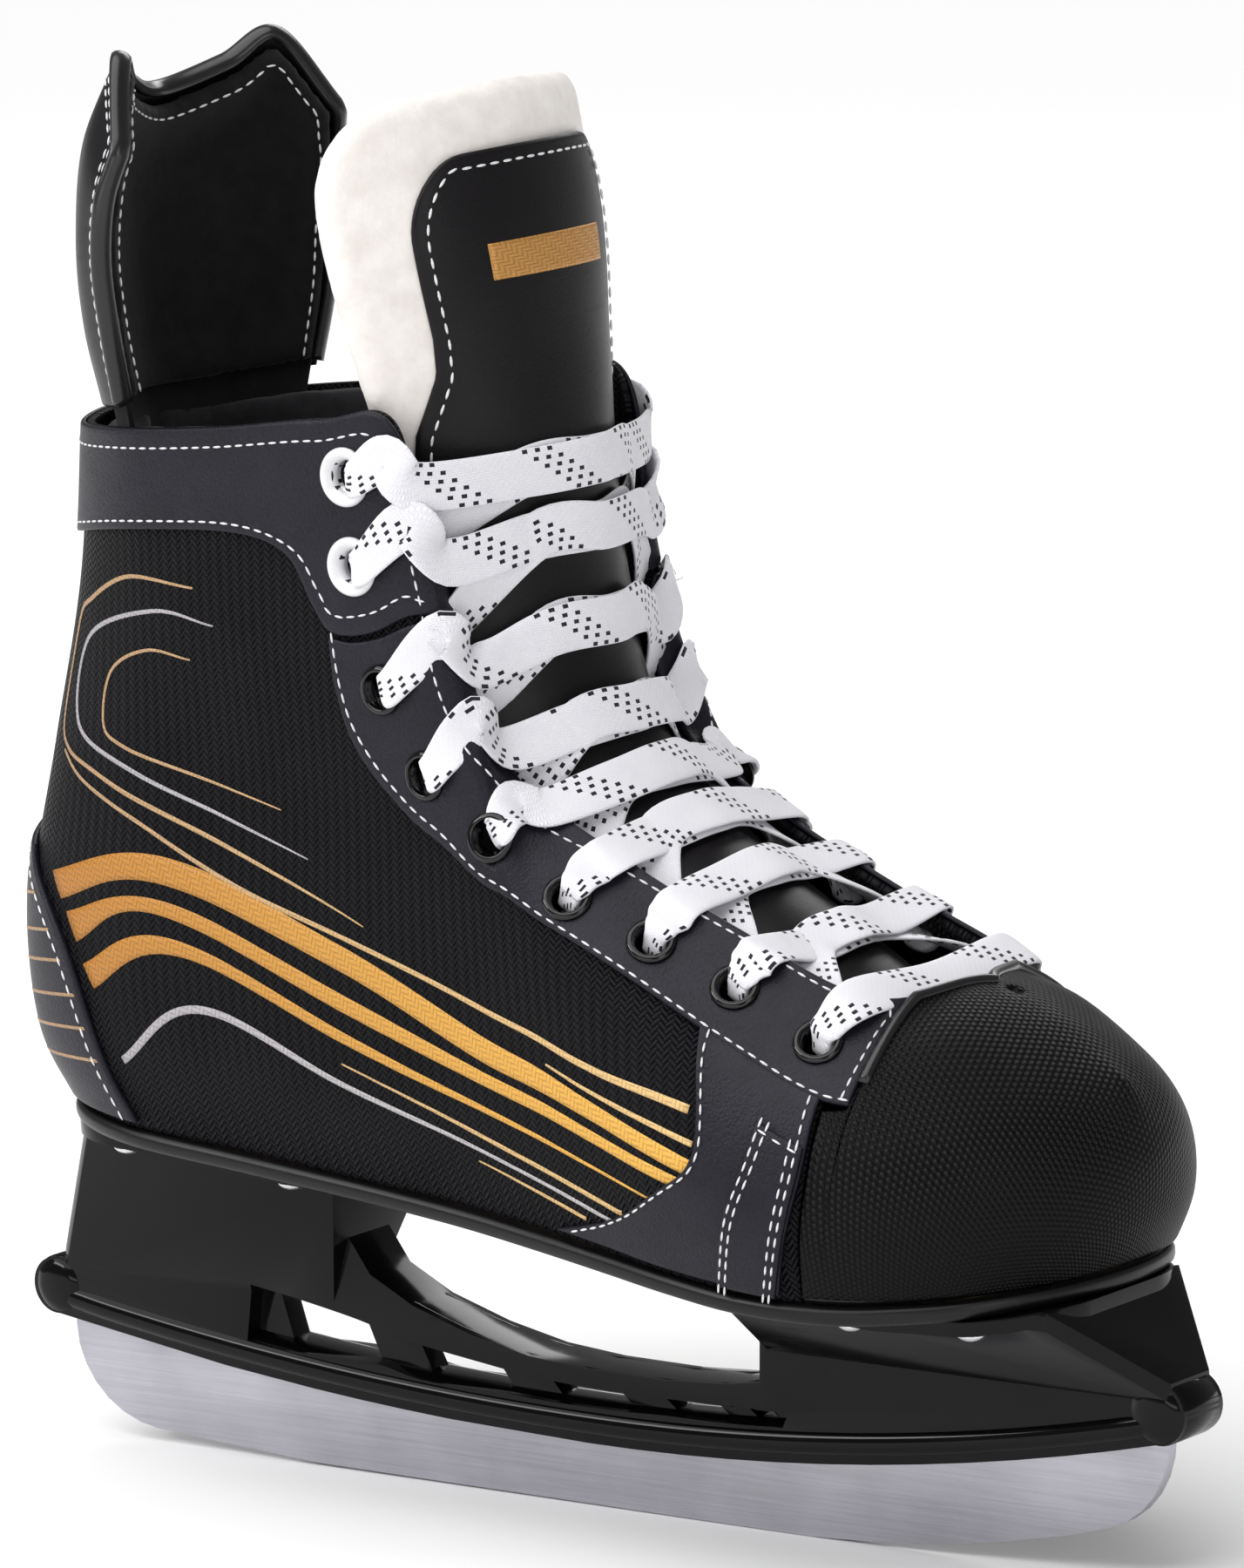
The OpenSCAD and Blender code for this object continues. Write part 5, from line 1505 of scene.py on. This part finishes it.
def slant(tangents, sideways, sections):
    """1 or -1 for each ring: the dashes slant towards the toe on every run, whichever face is up."""
    in_hole = sections[:, 0] < 5.4
    run_number = np.cumsum(np.diff(in_hole.astype(int), prepend=0) == 1)
    lean = tangents[:, 1] * (sideways @ np.array([1, 0, -0.5]))
    return np.where(np.bincount(run_number, lean)[run_number] > 0, 1.0, -1.0)


def lace_piece():
    centres, facings, sections = smooth_route()
    tangents = unit(np.gradient(centres, axis=0))
    sideways = unit(np.cross(tangents, facings))
    outwards = np.cross(sideways, tangents)
    across, up = squared_circle(20, 0.45, 0.6)
    half = sections / 2
    curl = 0.16 * across**2
    rings = (centres[:, None] + sideways[:, None] * (half[:, :1] * across)[..., None]
             + outwards[:, None] * (half[:, 1:] * up + curl)[..., None])
    points, faces = lofted(rings)
    run = np.concatenate([[0], np.cumsum(np.linalg.norm(np.diff(centres, axis=0), axis=1))])
    flat = np.stack([np.broadcast_to(run[:, None], rings.shape[:2]),
                     5.0 * across * slant(tangents, sideways, sections)[:, None]], -1) * MM
    return outward(mesh_piece("lace_weave", points, faces, woven_lace, flat.reshape(-1, 2))), run[-1]


def lace_material():
    """White flat weave with short black dashes in slanting bands."""
    made, tree, shader = material("lace", (0.8, 0.79, 0.83), 0.7, Sheen_Weight=0.15, Specular_IOR_Level=0.2)
    flat = flat_place(tree)
    along = node(tree, "ShaderNodeSeparateXYZ", {0: flat})
    row_place = maths(tree, "DIVIDE", maths(tree, "ADD", along.outputs["Y"], 0.00525), 0.00175)
    row = maths(tree, "FLOOR", row_place)
    shifted = maths(tree, "MULTIPLY_ADD", row, -0.0024, along.outputs["X"])
    dash = maths(tree, "DIVIDE", shifted, 0.003)
    in_band = maths(tree, "LESS_THAN", maths(tree, "FLOORED_MODULO", maths(tree, "FLOOR", dash), 9.0), 2.5)
    in_dash = maths(tree, "LESS_THAN", maths(tree, "ABSOLUTE",
                                             maths(tree, "SUBTRACT", maths(tree, "FRACT", dash), 0.5)), 0.2)
    in_row = maths(tree, "LESS_THAN", maths(tree, "ABSOLUTE",
                                            maths(tree, "SUBTRACT", maths(tree, "FRACT", row_place), 0.5)),
                   0.24)
    mark = maths(tree, "MULTIPLY", maths(tree, "MULTIPLY", in_band, in_dash), in_row)
    threads = use_group(tree, twill, {"Vector": flat, "Pitch": 0.00042})
    soft = noise(tree, object_place(tree), 160.0, 3.0, 0.6)
    # The white is half random mottle and half painted shade: grey in the valleys between threads, lighter on
    # their crowns.
    white = ramp(tree, maths(tree, "MULTIPLY_ADD", threads["Height"], 0.5,
                             maths(tree, "MULTIPLY", soft, 0.5)),
                 (0.1, (0.66, 0.65, 0.71)), (0.7, (0.83, 0.82, 0.86)))
    inked = node(tree, "ShaderNodeMix", {0: mark, 6: white, 7: (0.012, 0.012, 0.02, 1)}, data_type="RGBA")
    surface(tree, shader, inked.outputs[2], threads["Height"], 0.7, 0.00012)
    return made


woven_lace = lace_material()
lace, lace_length = lace_piece()
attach(lace, "root")
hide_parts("lace")
print("lace length on the boot %.0f mm" % lace_length)

# %% [markdown]
# ## Tendon guard
# The guard is a stiff leather wing that rises behind the ankle. It flexes back when the foot points down,
# so it bends out of the boot near the collar. Inside it has a soft velour pad, and its edge is bound in
# glossy tape with two rows of white thread.

# %% Surface of the guard
GUARD = np.array([
    [[-114, 0, 228.5], [-116.5, 0, 245], [-117, 0, 262], [-114, 0, 280], [-106, 0, 294]],
    [[-108, 18, 229], [-110, 20, 246], [-110, 21, 264], [-108, 20, 284], [-100.5, 16, 298]],
    [[-100, 28, 230], [-101, 32, 247], [-101, 33.5, 265], [-99, 32, 285], [-94, 27, 303]],
    [[-92, 33.5, 231], [-91, 38, 247], [-91, 40, 262], [-89, 40.5, 275], [-86, 38, 286]]], float)
GUARD_STATIONS = np.concatenate([GUARD[:0:-1] * MIRROR, GUARD])
GUARD_STATIONS = np.concatenate([2 * GUARD_STATIONS[:1] - GUARD_STATIONS[1:2], GUARD_STATIONS,
                                 2 * GUARD_STATIONS[-1:] - GUARD_STATIONS[-2:-1]])
WIDE_GUARD = np.concatenate([2 * GUARD_STATIONS[:, :1] - GUARD_STATIONS[:, 1:2], GUARD_STATIONS,
                             2 * GUARD_STATIONS[:, -1:] - GUARD_STATIONS[:, -2:-1]], 1)


def guard_at(w, v):
    """Points on the guard: w runs from the near wing's edge, -3, to the far wing's, 3, and v from 0 up to
    4."""
    w, v = np.broadcast_arrays(np.asarray(w, float), np.asarray(v, float))
    k = np.clip(np.floor(w + 3), 0, 5).astype(int)
    j = np.clip(np.floor(v), 0, 3).astype(int)
    along, upward = spline_weights(w + 3 - k), spline_weights(np.maximum(v, 0) - j)
    points = sum((along[..., a] * upward[..., b])[..., None] * WIDE_GUARD[k + a, j + b] for a in range(4)
                 for b in range(4))
    foot = sum(along[..., a, None] * (WIDE_GUARD[k + a, 2] - WIDE_GUARD[k + a, 1]) for a in range(4))
    return points + np.minimum(v, 0)[..., None] * foot


def guard_normal(w, v):
    a, b = np.clip(w, -2.97, 2.97), np.clip(v, 0.02, 3.97)
    across = guard_at(a + 0.02, b) - guard_at(a - 0.02, b)
    upward = guard_at(a, b + 0.02) - guard_at(a, b - 0.02)
    return unit(np.cross(upward, across))


def guard_skin(w, v, d):
    return guard_at(w, v) + np.asarray(d, float)[..., None] * guard_normal(w, v)


check = guard_normal(np.array(0.0), np.array(2.0))
print("guard faces backwards:", check[0] < 0)


def bend_guard(piece):
    """Bakes the piece's placement into its mesh; the wing is not flexed."""
    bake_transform(piece)


# %% Shell, binding and pad of the guard
def guard_sheet(name, low, high, d0, d1, finish, reach=3.0, roll=0.5):
    t_w, dip_w = rolled_fractions(118, 1.6)
    t_v, dip_v = rolled_fractions(72, 1.6)
    w, v = np.meshgrid(reach * (2 * t_w - 1), low + (high - low) * t_v, indexing="ij")
    dip = np.maximum(dip_w[:, None], dip_v[None]) * roll
    return sheet_piece(name, guard_skin(w, v, d1 - dip), guard_skin(w, v, d0 + dip), finish)


guard_shell = guard_sheet("guard_shell", 0.0, 4.0, -2.0, 0.0, black_leather)
bend_guard(guard_shell)
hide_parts("tendon_guard_shell")


def tube(name, line, radius, finish, turns=12, squash=None):
    """A round cord along a line of points, or an oval one where squash gives the facing direction."""
    line = np.asarray(line)
    tangents = unit(np.gradient(line, axis=0))
    facing = np.broadcast_to(np.array([0, 0, 1.0]), line.shape) if squash is None else squash
    side_way = unit(np.cross(tangents, facing))
    outwards = np.cross(side_way, tangents)
    angles = np.linspace(0, 2 * math.pi, turns, endpoint=False)
    width, height = radius if isinstance(radius, tuple) else (radius, radius)
    rings = (line[:, None] + side_way[:, None] * (width * np.cos(angles))[None, :, None]
             + outwards[:, None] * (height * np.sin(angles))[None, :, None])
    return outward(mesh_piece(name, *lofted(rings), finish))


up_edge, over_edge = np.linspace(0.06, 3.9, 60), np.linspace(-2.93, 2.93, 150)
corner = np.array([[-2.99, 3.93], [-2.96, 3.97]])
rim = np.concatenate([np.stack([np.full(60, -3.0), up_edge], -1), corner,
                      np.stack([over_edge, np.full(150, 4.0)], -1),
                      corner[::-1] * [-1, 1], np.stack([np.full(60, 3.0), up_edge[::-1]], -1)])
rim_line = guard_skin(rim[:, 0], rim[:, 1], np.full(len(rim), -1.3))
binding = tube("guard_binding", rim_line, (1.5, 2.3), edge_binding, 14, guard_normal(rim[:, 0], rim[:, 1]))
bend_guard(binding)

skirt = guard_sheet("guard_skirt", -0.85, 0.2, -3.3, -2.1, velour, 2.9, 0.2)
bend_guard(skirt)

double = []
for gap_in in (0.13, 0.22):
    edge = np.stack([np.full(50, -3 + gap_in), np.linspace(0.15, 3.75, 50)], -1)
    top_line = np.stack([np.linspace(-3 + gap_in, 3 - gap_in, 120), np.full(120, 4 - 1.2 * gap_in)], -1)
    double.append(np.concatenate([edge, top_line[1:-1], edge[::-1] * [-1, 1]]))
faces_out = [guard_normal(d[:, 0], d[:, 1]) for d in double]
guard_stitches = sewn("guard_stitching", [guard_skin(d[:, 0], d[:, 1], np.full(len(d), 0.1)) for d in double],
                      faces_out,
                      2.9, 2.2, 0.5)
inner_line = double[1]
inside = sewn("guard_stitching_inside", [guard_skin(inner_line[:, 0], inner_line[:, 1],
                                                    np.full(len(inner_line), -6.3))],
              [-faces_out[1]], 2.9, 2.2, 0.5)
stitches = joined([guard_stitches, inside], "guard_stitching")
bend_guard(stitches)

guard_pad = guard_sheet("guard_pad", 0.05, 3.86, -5.9, -2.5, velour, 2.9, 1.0)
swollen(guard_pad, 1.6, 2.0, 0.3)
keep_finish(guard_pad, velour)
bend_guard(guard_pad)
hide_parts("tendon_guard_lining")
print("guard pieces done")

# %% [markdown]
# ## Toe cap
# The toe cap is one piece of raised knit drawn over a stiff shell. It wraps from one side of the throat
# round the toe to the other side. Along the top of the toe both halves meet in a ridge, where their points
# are welded together. Its flat pattern comes from an unwrap that keeps angles, so the knit's rows run true.

# %% One skin over the toe
RIDGE_FROM = 11


def toe_grid(d, low_v, high, stations, levels):
    """Points over the toe at height d: stations run from the near throat round the toe to the far throat."""
    u = np.concatenate([stations, 2 * TOE - stations[-2::-1]])
    folded = np.where(u <= TOE, u, 2 * TOE - u)
    v = low_v + (high(folded)[:, None] - low_v) * levels[None]
    side = np.where(u <= TOE, NEAR, FAR)[:, None] * np.ones_like(v)
    folded = np.broadcast_to(folded[:, None], v.shape)
    points = skin(side, folded, v, np.broadcast_to(d, v.shape))
    other = skin(-side, folded, v, np.broadcast_to(d, v.shape))
    meets = (folded >= RIDGE_FROM) & (v > TOP - 0.001) | (folded > TOE - 1e-6)
    return np.where(meets[..., None], (points + other) / 2, points), meets


def toe_high(u):
    return np.interp(u, [10.05, 10.32, 10.36, RIDGE_FROM - 0.02, RIDGE_FROM, TOE],
                     [3.1, 3.15, 4.94, 4.99, 5, 5])


def shell_over(name, outer, inner, meets, finish):
    """A closed shell from two grids; the points that meet on the ridge are welded."""
    rows, cols = outer.shape[:2]
    index = np.arange(rows * cols).reshape(rows, cols)
    weld = index.copy()
    ridge = np.nonzero(meets[:, -1])[0]
    weld[ridge, -1] = index[rows - 1 - ridge, -1]
    weld = np.minimum(weld, index)
    quads = weld.ravel()[grid_quads(rows, cols).reshape(-1, 4)]
    count = rows * cols
    faces = quads.tolist() + (quads[:, ::-1] + count).tolist() + rim_faces(quads, count).tolist()
    faces = [list(dict.fromkeys(face)) for face in faces]
    faces = [face for face in faces if len(face) > 2]
    used, renamed = np.unique(np.concatenate(faces), return_inverse=True)
    lengths = np.cumsum([len(face) for face in faces])[:-1]
    points = np.concatenate([outer.reshape(-1, 3), inner.reshape(-1, 3)])[used]
    piece = outward(mesh_piece(name, points, np.split(renamed, lengths), finish))
    unwrap_welded(piece, quads, outer.reshape(-1, 3), used, count)
    return piece


def unwrap_welded(piece, quads, outer, used, count):
    """Gives the piece the flat pattern of its outer skin; the inner skin takes the same places."""
    skin_faces = [list(dict.fromkeys(face)) for face in quads.tolist()]
    skin_used, renamed = np.unique(np.concatenate(skin_faces), return_inverse=True)
    lengths = np.cumsum([len(face) for face in skin_faces])[:-1]
    pattern = mesh_piece("pattern", outer[skin_used], np.split(renamed, lengths), knit)
    area = sum(face.area for face in pattern.data.polygons)
    flat = np.zeros((2 * count, 2))
    flat[skin_used] = unwrapped(pattern)
    first, second, third = (flat[:count][quads[:, i]] for i in (0, 1, 3))
    edge_one, edge_two = second - first, third - first
    flat_area = np.abs(edge_one[:, 0] * edge_two[:, 1] - edge_one[:, 1] * edge_two[:, 0]).sum()
    flat *= math.sqrt(area / flat_area)
    flat[count:] = flat[:count]
    set_flat(piece.data, flat[used])
    print(piece.name, "cloth area %.0f cm2" % (area * 1e4))


stations = np.concatenate([[10.05, 10.07, 10.18, 10.30, 10.33, 10.36],
                           np.linspace(10.42, RIDGE_FROM - 0.07, 9),
                           np.linspace(RIDGE_FROM, TOE, 56)])
levels = np.concatenate([[0, 0.006, 0.02], np.linspace(0.05, 0.97, 44), [0.992, 1.0]])
edge_dip = np.zeros((2 * len(stations) - 1, len(levels)))
edge_dip[:, 0] = edge_dip[0] = edge_dip[-1] = 0.6
edge_dip[:, 1] = edge_dip[1] = edge_dip[-2] = 0.15
throat = np.concatenate([stations, 2 * TOE - stations[-2::-1]])
throat = np.minimum(throat, 2 * TOE - throat) < RIDGE_FROM
edge_dip[throat, -1] = 0.6
edge_dip[throat, -2] = 0.15
outer, meets = toe_grid(1.45 - edge_dip, 0.15, toe_high, stations, levels)
inner, _ = toe_grid(0.0, 0.15, toe_high, stations, levels)
toe_cover = shell_over("toe_cap_knit", outer, inner, meets, knit)
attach(toe_cover, "root")
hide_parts("toe_cap_cover")

# %% Bound edge of the throat
throat_u = np.concatenate([np.full(14, 10.36), np.linspace(10.4, RIDGE_FROM, 24)])
throat_v = np.concatenate([np.linspace(3.5, 4.93, 14), np.linspace(4.94, 5.0, 24)])
near_side, far_side = (skin(side, throat_u, throat_v, 1.3) for side in (NEAR, FAR))
bow = np.concatenate([near_side, far_side[-2::-1]])
throat_edge = tube("throat_binding", bow, 1.3, edge_binding)
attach(throat_edge, "root")

# %% [markdown]
# ## Soft linings
# Foam under cloth lines the ankle and covers the insole. Each pad is a closed sheet that swells a little
# from the pressure inside, held by its own seams.


# %% Pads
def pad(name, side, u_range, v_range, d0, d1, finish, node_name, voxel, cap):
    t_u, dip_u = rolled_fractions((u_range[1] - u_range[0]) * 30, 3.0, 1.6)
    t_v, dip_v = rolled_fractions((v_range[1] - v_range[0]) * 30, 3.0, 1.6)
    u, v = np.meshgrid(u_range[0] + (u_range[1] - u_range[0]) * t_u,
                       v_range[0] + (v_range[1] - v_range[0]) * t_v,
                       indexing="ij")
    dip = np.maximum(dip_u[:, None], dip_v[None]) * 1.2
    piece = sheet_piece(name, skin(side, u, v, d1 - dip), skin(side, u, v, d0 + dip), finish)
    swollen(piece, voxel, 3.0, cap)
    keep_finish(piece, finish)
    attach(piece, "root")
    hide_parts(node_name)
    return piece


PAD_FACE = -CLOTH - 2 * GAP - 1.2
for side_name, side in SIDES.items():
    pad("ankle_pad_" + side_name, side, (0.04, 3.88), (0.34, 4.95), PAD_FACE - 6.6, PAD_FACE - 0.2, lining,
        "ankle_padding_" + side_name, 2.6, 0.3)

# %% [markdown]
# ## Sole
# The outsole is a moulded plate under the boot with a rounded edge. Its outline is the boot's own bottom
# edge, grown outwards a little.

# %% Outsole
SOLE = np.array([[-150, 81.5], [-121, 79], [-68, 75], [-8, 70], [33, 66], [68, 62.5], [92, 61.5], [114, 62.5],
                 [150, 67]])
OUTSOLE = 4.0


def sole_top(x):
    """Height of the sole's top face, with its bends rounded."""
    spread = np.linspace(-6, 6, 7)
    return np.mean([np.interp(x + s, SOLE[:, 0], SOLE[:, 1]) for s in spread], axis=0)


def sole_outline(grow):
    """The boot's bottom edge seen from above, grown outwards."""
    u = np.linspace(0, TOE, 110)
    loops = []
    for side in (NEAR, FAR):
        here = last_at(side, u, 0.0)[:, :2]
        step = unit(last_at(side, np.minimum(u + 0.04, TOE), 0.0)[:, :2]
                    - last_at(side, np.maximum(u - 0.04, 0), 0.0)[:, :2])
        loops.append(here + grow * side * np.stack([-step[:, 1], step[:, 0]], -1))
    return np.concatenate([loops[0], loops[1][-2:0:-1]])


def slab_between(name, layers, finish):
    """A closed slab from loops seen from above: each layer gives how far it grows and its drop below the
    sole's top."""
    rings = []
    for grow, drop in layers:
        outline = sole_outline(grow)
        rings.append(np.stack([outline[:, 0], outline[:, 1], sole_top(outline[:, 0]) - drop], -1))
    spread = np.linspace(0.9, 0.04, 9)

    def inward(ring, share, drop):
        narrow = ring.copy()
        narrow[:, 1] = turn(ring[:, 0]) * (1 - share) + ring[:, 1] * share
        narrow[:, 2] = sole_top(narrow[:, 0]) - drop
        return narrow

    bottom = [inward(rings[-1], share, layers[-1][1]) for share in spread]
    top = [inward(rings[0], share, layers[0][1]) for share in spread[::-1]]
    return outward(mesh_piece(name, *lofted(top + rings + bottom), finish))


outsole = slab_between("outsole_rim", [(0.3, 0.0), (1.0, 0.2), (1.5, 0.7), (1.75, 1.4), (1.75, 2.5),
                                       (1.5, 3.3), (1.0, 3.8),
                                       (0.3, OUTSOLE)], sole_plastic)
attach(outsole, "root")
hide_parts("outsole")

footbed = slab_between("footbed_pad", [(-7.2, -6.7), (-6.0, -6.3), (-5.6, -5.0), (-6.0, -3.4), (-7.0, -2.9)],
                       foam_fabric)
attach(footbed, "root")
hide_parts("footbed")
print("sole thickness %.1f mm" % OUTSOLE)

# %% [markdown]
# ## Holder
# The holder is moulded in one shot: two hollow towers, flanges that bolt to the sole, an arched beam between
# them and a rail that grips the steel. Moulded edges are never sharp, so every edge of the plain part is
# rounded, and a bead runs along the rail's lower lip from the rear lug to the front one.


# %% Rounded edges on plain parts
def rounded_copy(source, name, finish, width, segments=3, cutters=()):
    """A copy of a CAD part with its sharp edges rounded, after the cutters are taken out of it."""
    whole = bmesh.new()
    whole.from_mesh(bpy.data.objects[source].data)
    bmesh.ops.remove_doubles(whole, verts=whole.verts, dist=0.02 * MM)
    bmesh.ops.dissolve_limit(whole, angle_limit=math.radians(2.5), verts=whole.verts, edges=whole.edges)
    mesh = bpy.data.meshes.new(name)
    whole.to_mesh(mesh)
    whole.free()
    piece = link(name, mesh)
    for cutter in cutters:
        cut = piece.modifiers.new("pocket", "BOOLEAN")
        cut.operation = "DIFFERENCE"
        cut.solver = "EXACT"
        cut.object = cutter
    bevel = piece.modifiers.new("rounding", "BEVEL")
    bevel.width = width * MM
    bevel.segments = segments
    bevel.limit_method = "ANGLE"
    bevel.angle_limit = math.radians(28)
    bevel.use_clamp_overlap = True
    bevel.harden_normals = False
    rounded = applied(piece).data
    keep_finish(piece, finish)
    rounded.polygons.foreach_set("use_smooth", [True] * len(rounded.polygons))
    sharp_by_angle(piece, 32)
    return piece


def sharp_by_angle(piece, degrees):
    """Keeps flat faces flat: edges steeper than this stay sharp in the shading."""
    with edited(piece.data) as whole:
        for edge in whole.edges:
            if len(edge.link_faces) == 2:
                edge.smooth = edge.calc_face_angle(0) < math.radians(degrees)


RAIL_HALF = 7.0


def rail_low(x):
    x = np.asarray(x, float)
    return 15 + np.where(x < 6, 12.5 * np.clip((6 - x) / 148, 0, 2) ** 2,
                         16 * np.clip((x - 6) / 136, 0, 2) ** 2)


def sideways_loft(name, x, middle, half_width, half_height, finish, power):
    """A rounded bar along the skate; each x has its middle height, half width and half height."""
    wide, high = squared_circle(28, power, power)
    rings = np.stack([np.broadcast_to(x[:, None], (len(x), 28)), half_width[:, None] * wide,
                      middle[:, None] + half_height[:, None] * high], -1)
    return outward(mesh_piece(name, *lofted(rings), finish))


# %% Thin web between the beam and the lip
# The ladder between the arched beam and the rail's lip is thinner than both, as on an I-beam: a shallow
# pocket is cut into each side, between the slots' floors and their roofs.
WEB_HALF = 2.8
SLOT_FLOOR = np.array([(-90, 26.6), (-86, 26), (-57, 25.9), (-43, 23.6), (-22, 23.3), (-9, 22.8), (9, 22.8),
                       (20, 23.2), (34, 23.3), (50, 24)])
SLOT_ROOF = np.array([(-88, 39.6), (-61, 35.1), (-47, 31.8), (-26, 29), (-13, 27.6), (5, 26.8), (30, 26.9),
                      (51.5, 27.2)])


def pocket(side):
    floor, roof = (along_line(line, np.linspace(0, 1, 60)) for line in (SLOT_FLOOR, SLOT_ROOF))
    outline = np.concatenate([floor, roof[::-1]])
    count = len(outline)
    near_y, far_y = side * WEB_HALF, side * (RAIL_HALF + 2)
    points = [(x, near_y, z) for x, z in outline] + [(x, far_y, z) for x, z in outline]
    faces = [[k, (k + 1) % count, count + (k + 1) % count, count + k] for k in range(count)]
    faces += [list(range(count)), list(range(2 * count - 1, count - 1, -1))]
    return outward(mesh_piece("pocket", points, faces, holder_plastic))


pockets = [pocket(NEAR), pocket(FAR)]
holder_body = rounded_copy("blade_holder", "holder_body", holder_plastic, 0.6, cutters=pockets)
for cutter in pockets:
    bpy.data.objects.remove(cutter)
print("holder faces", len(holder_body.data.polygons))

# %% Bead, ribs and lugs of the holder
rail_x = np.linspace(-143.5, 144.5, 150)
taper = np.clip(np.minimum((rail_x + 146.5) / 16, (147.5 - rail_x) / 14), 0, 1) ** 0.5
bead = sideways_loft("rail_bead", rail_x, rail_low(rail_x) + 4.3, RAIL_HALF + 1.2 * taper - 0.1,
                     4.2 + 0.2 * taper,
                     holder_plastic, 0.9)

arch = np.array([(-52, 41.6), (-45, 38.9), (-30, 34.4), (-15, 31.4), (0, 30.2), (20, 30.0), (35, 30.9),
                 (43, 32.2)], float)
arch_line = along_line(arch, np.linspace(0, 1, 60))


def rib(y):
    """A thin rounded rib along the top of the arched beam; two of them leave a groove between."""
    ring_angle = np.linspace(0, 2 * math.pi, 12, endpoint=False)
    rings = np.stack([np.broadcast_to(arch_line[:, :1], (60, 12)),
                      np.broadcast_to(y + 1.25 * np.cos(ring_angle), (60, 12)),
                      arch_line[:, 1:] + 1.15 * np.sin(ring_angle) - 0.4], -1)
    return outward(mesh_piece("rib", *lofted(rings), holder_plastic))


def lug(name, x, z, radius):
    """A round end of the rail: a short bar across it with domed ends."""
    wide = RAIL_HALF + 1.1
    profile = [(0, -wide), (radius * 0.55, -wide + 0.25), (radius * 0.85, -wide + 0.9), (radius, -wide + 2.2),
               (radius, wide - 2.2), (radius * 0.85, wide - 0.9), (radius * 0.55, wide - 0.25), (0, wide)]
    points, faces = lathed(profile, 40)
    points = points[:, [0, 2, 1]] + [x, 0, z]
    return outward(mesh_piece(name, points, faces, holder_plastic), 1e-6)


lugs = [lug("rear_lug", -141.6, 33.6, 6.6), lug("front_lug", 142.2, 37.5, 6.9)]
holder = joined([holder_body, bead, rib(-5.2), rib(5.2)] + lugs, "blade_holder_moulding")
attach(holder, "root")
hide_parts("blade_holder")

# %% [markdown]
# ## Runner, nuts and rivets
# The runner is one strip of hardened steel with its edges just broken. Its sides are ground along the
# length, which shows as fine lines. Rivets through the sole and flanges hold the holder to the boot.

# %% Runner
runner = rounded_copy("blade_runner", "runner_steel", blade_steel, 0.3, 2)
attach(runner, "root")
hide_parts("blade_runner")

nuts = rounded_copy("blade_nuts", "nuts_plated", plated_steel, 0.35, 2)
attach(nuts, "root")
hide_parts("blade_nuts")

# %% Rivets
HEEL_RIVETS = [(-108, 21.5), (-64, 21.5)]
FRONT_RIVETS = [(54, 28.5), (84, 28.5), (112, 27)]
rivet_profile = [(0, -1.7), (1.3, -1.62), (2.4, -1.2), (3.1, -0.55), (3.35, 0.0), (2.0, 0.1), (2.0, 6.8),
                 (0, 6.8)]
points, faces = lathed(rivet_profile, 32)
rivet = outward(mesh_piece("rivet_template", points, faces, plated_steel))
for level_name, places in (("heel", HEEL_RIVETS), ("front", FRONT_RIVETS)):
    spots = [(x, side * y, float(sole_top(x)) - 7.45) for x, y in places for side in (NEAR, FAR)]
    piece = copied(f"rivets_{level_name}", rivet, np.array(spots, float), [(0, 0, 1)] * len(spots),
                   [(1, 0, 0)] * len(spots), plated_steel)
    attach(piece, "root")
    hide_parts(f"sole_rivets_{level_name}")
bpy.data.objects.remove(rivet)
print("runner, nuts and rivets done")

# %% [markdown]
# ## Plain parts that stay
# Some parts are hidden or already have their final shape. They stay as the CAD model has them and only
# get their finish.

# %% Finishes of the parts that stay
STAYING = {"toe_cap_shell": black_enamel, "toe_lining": lining, "heel_counter": fibre_board,
           "insole_board": fibre_board}
for part_name, finish in STAYING.items():
    keep_finish(bpy.data.objects[part_name], finish)
print("plain parts:", ", ".join(STAYING))
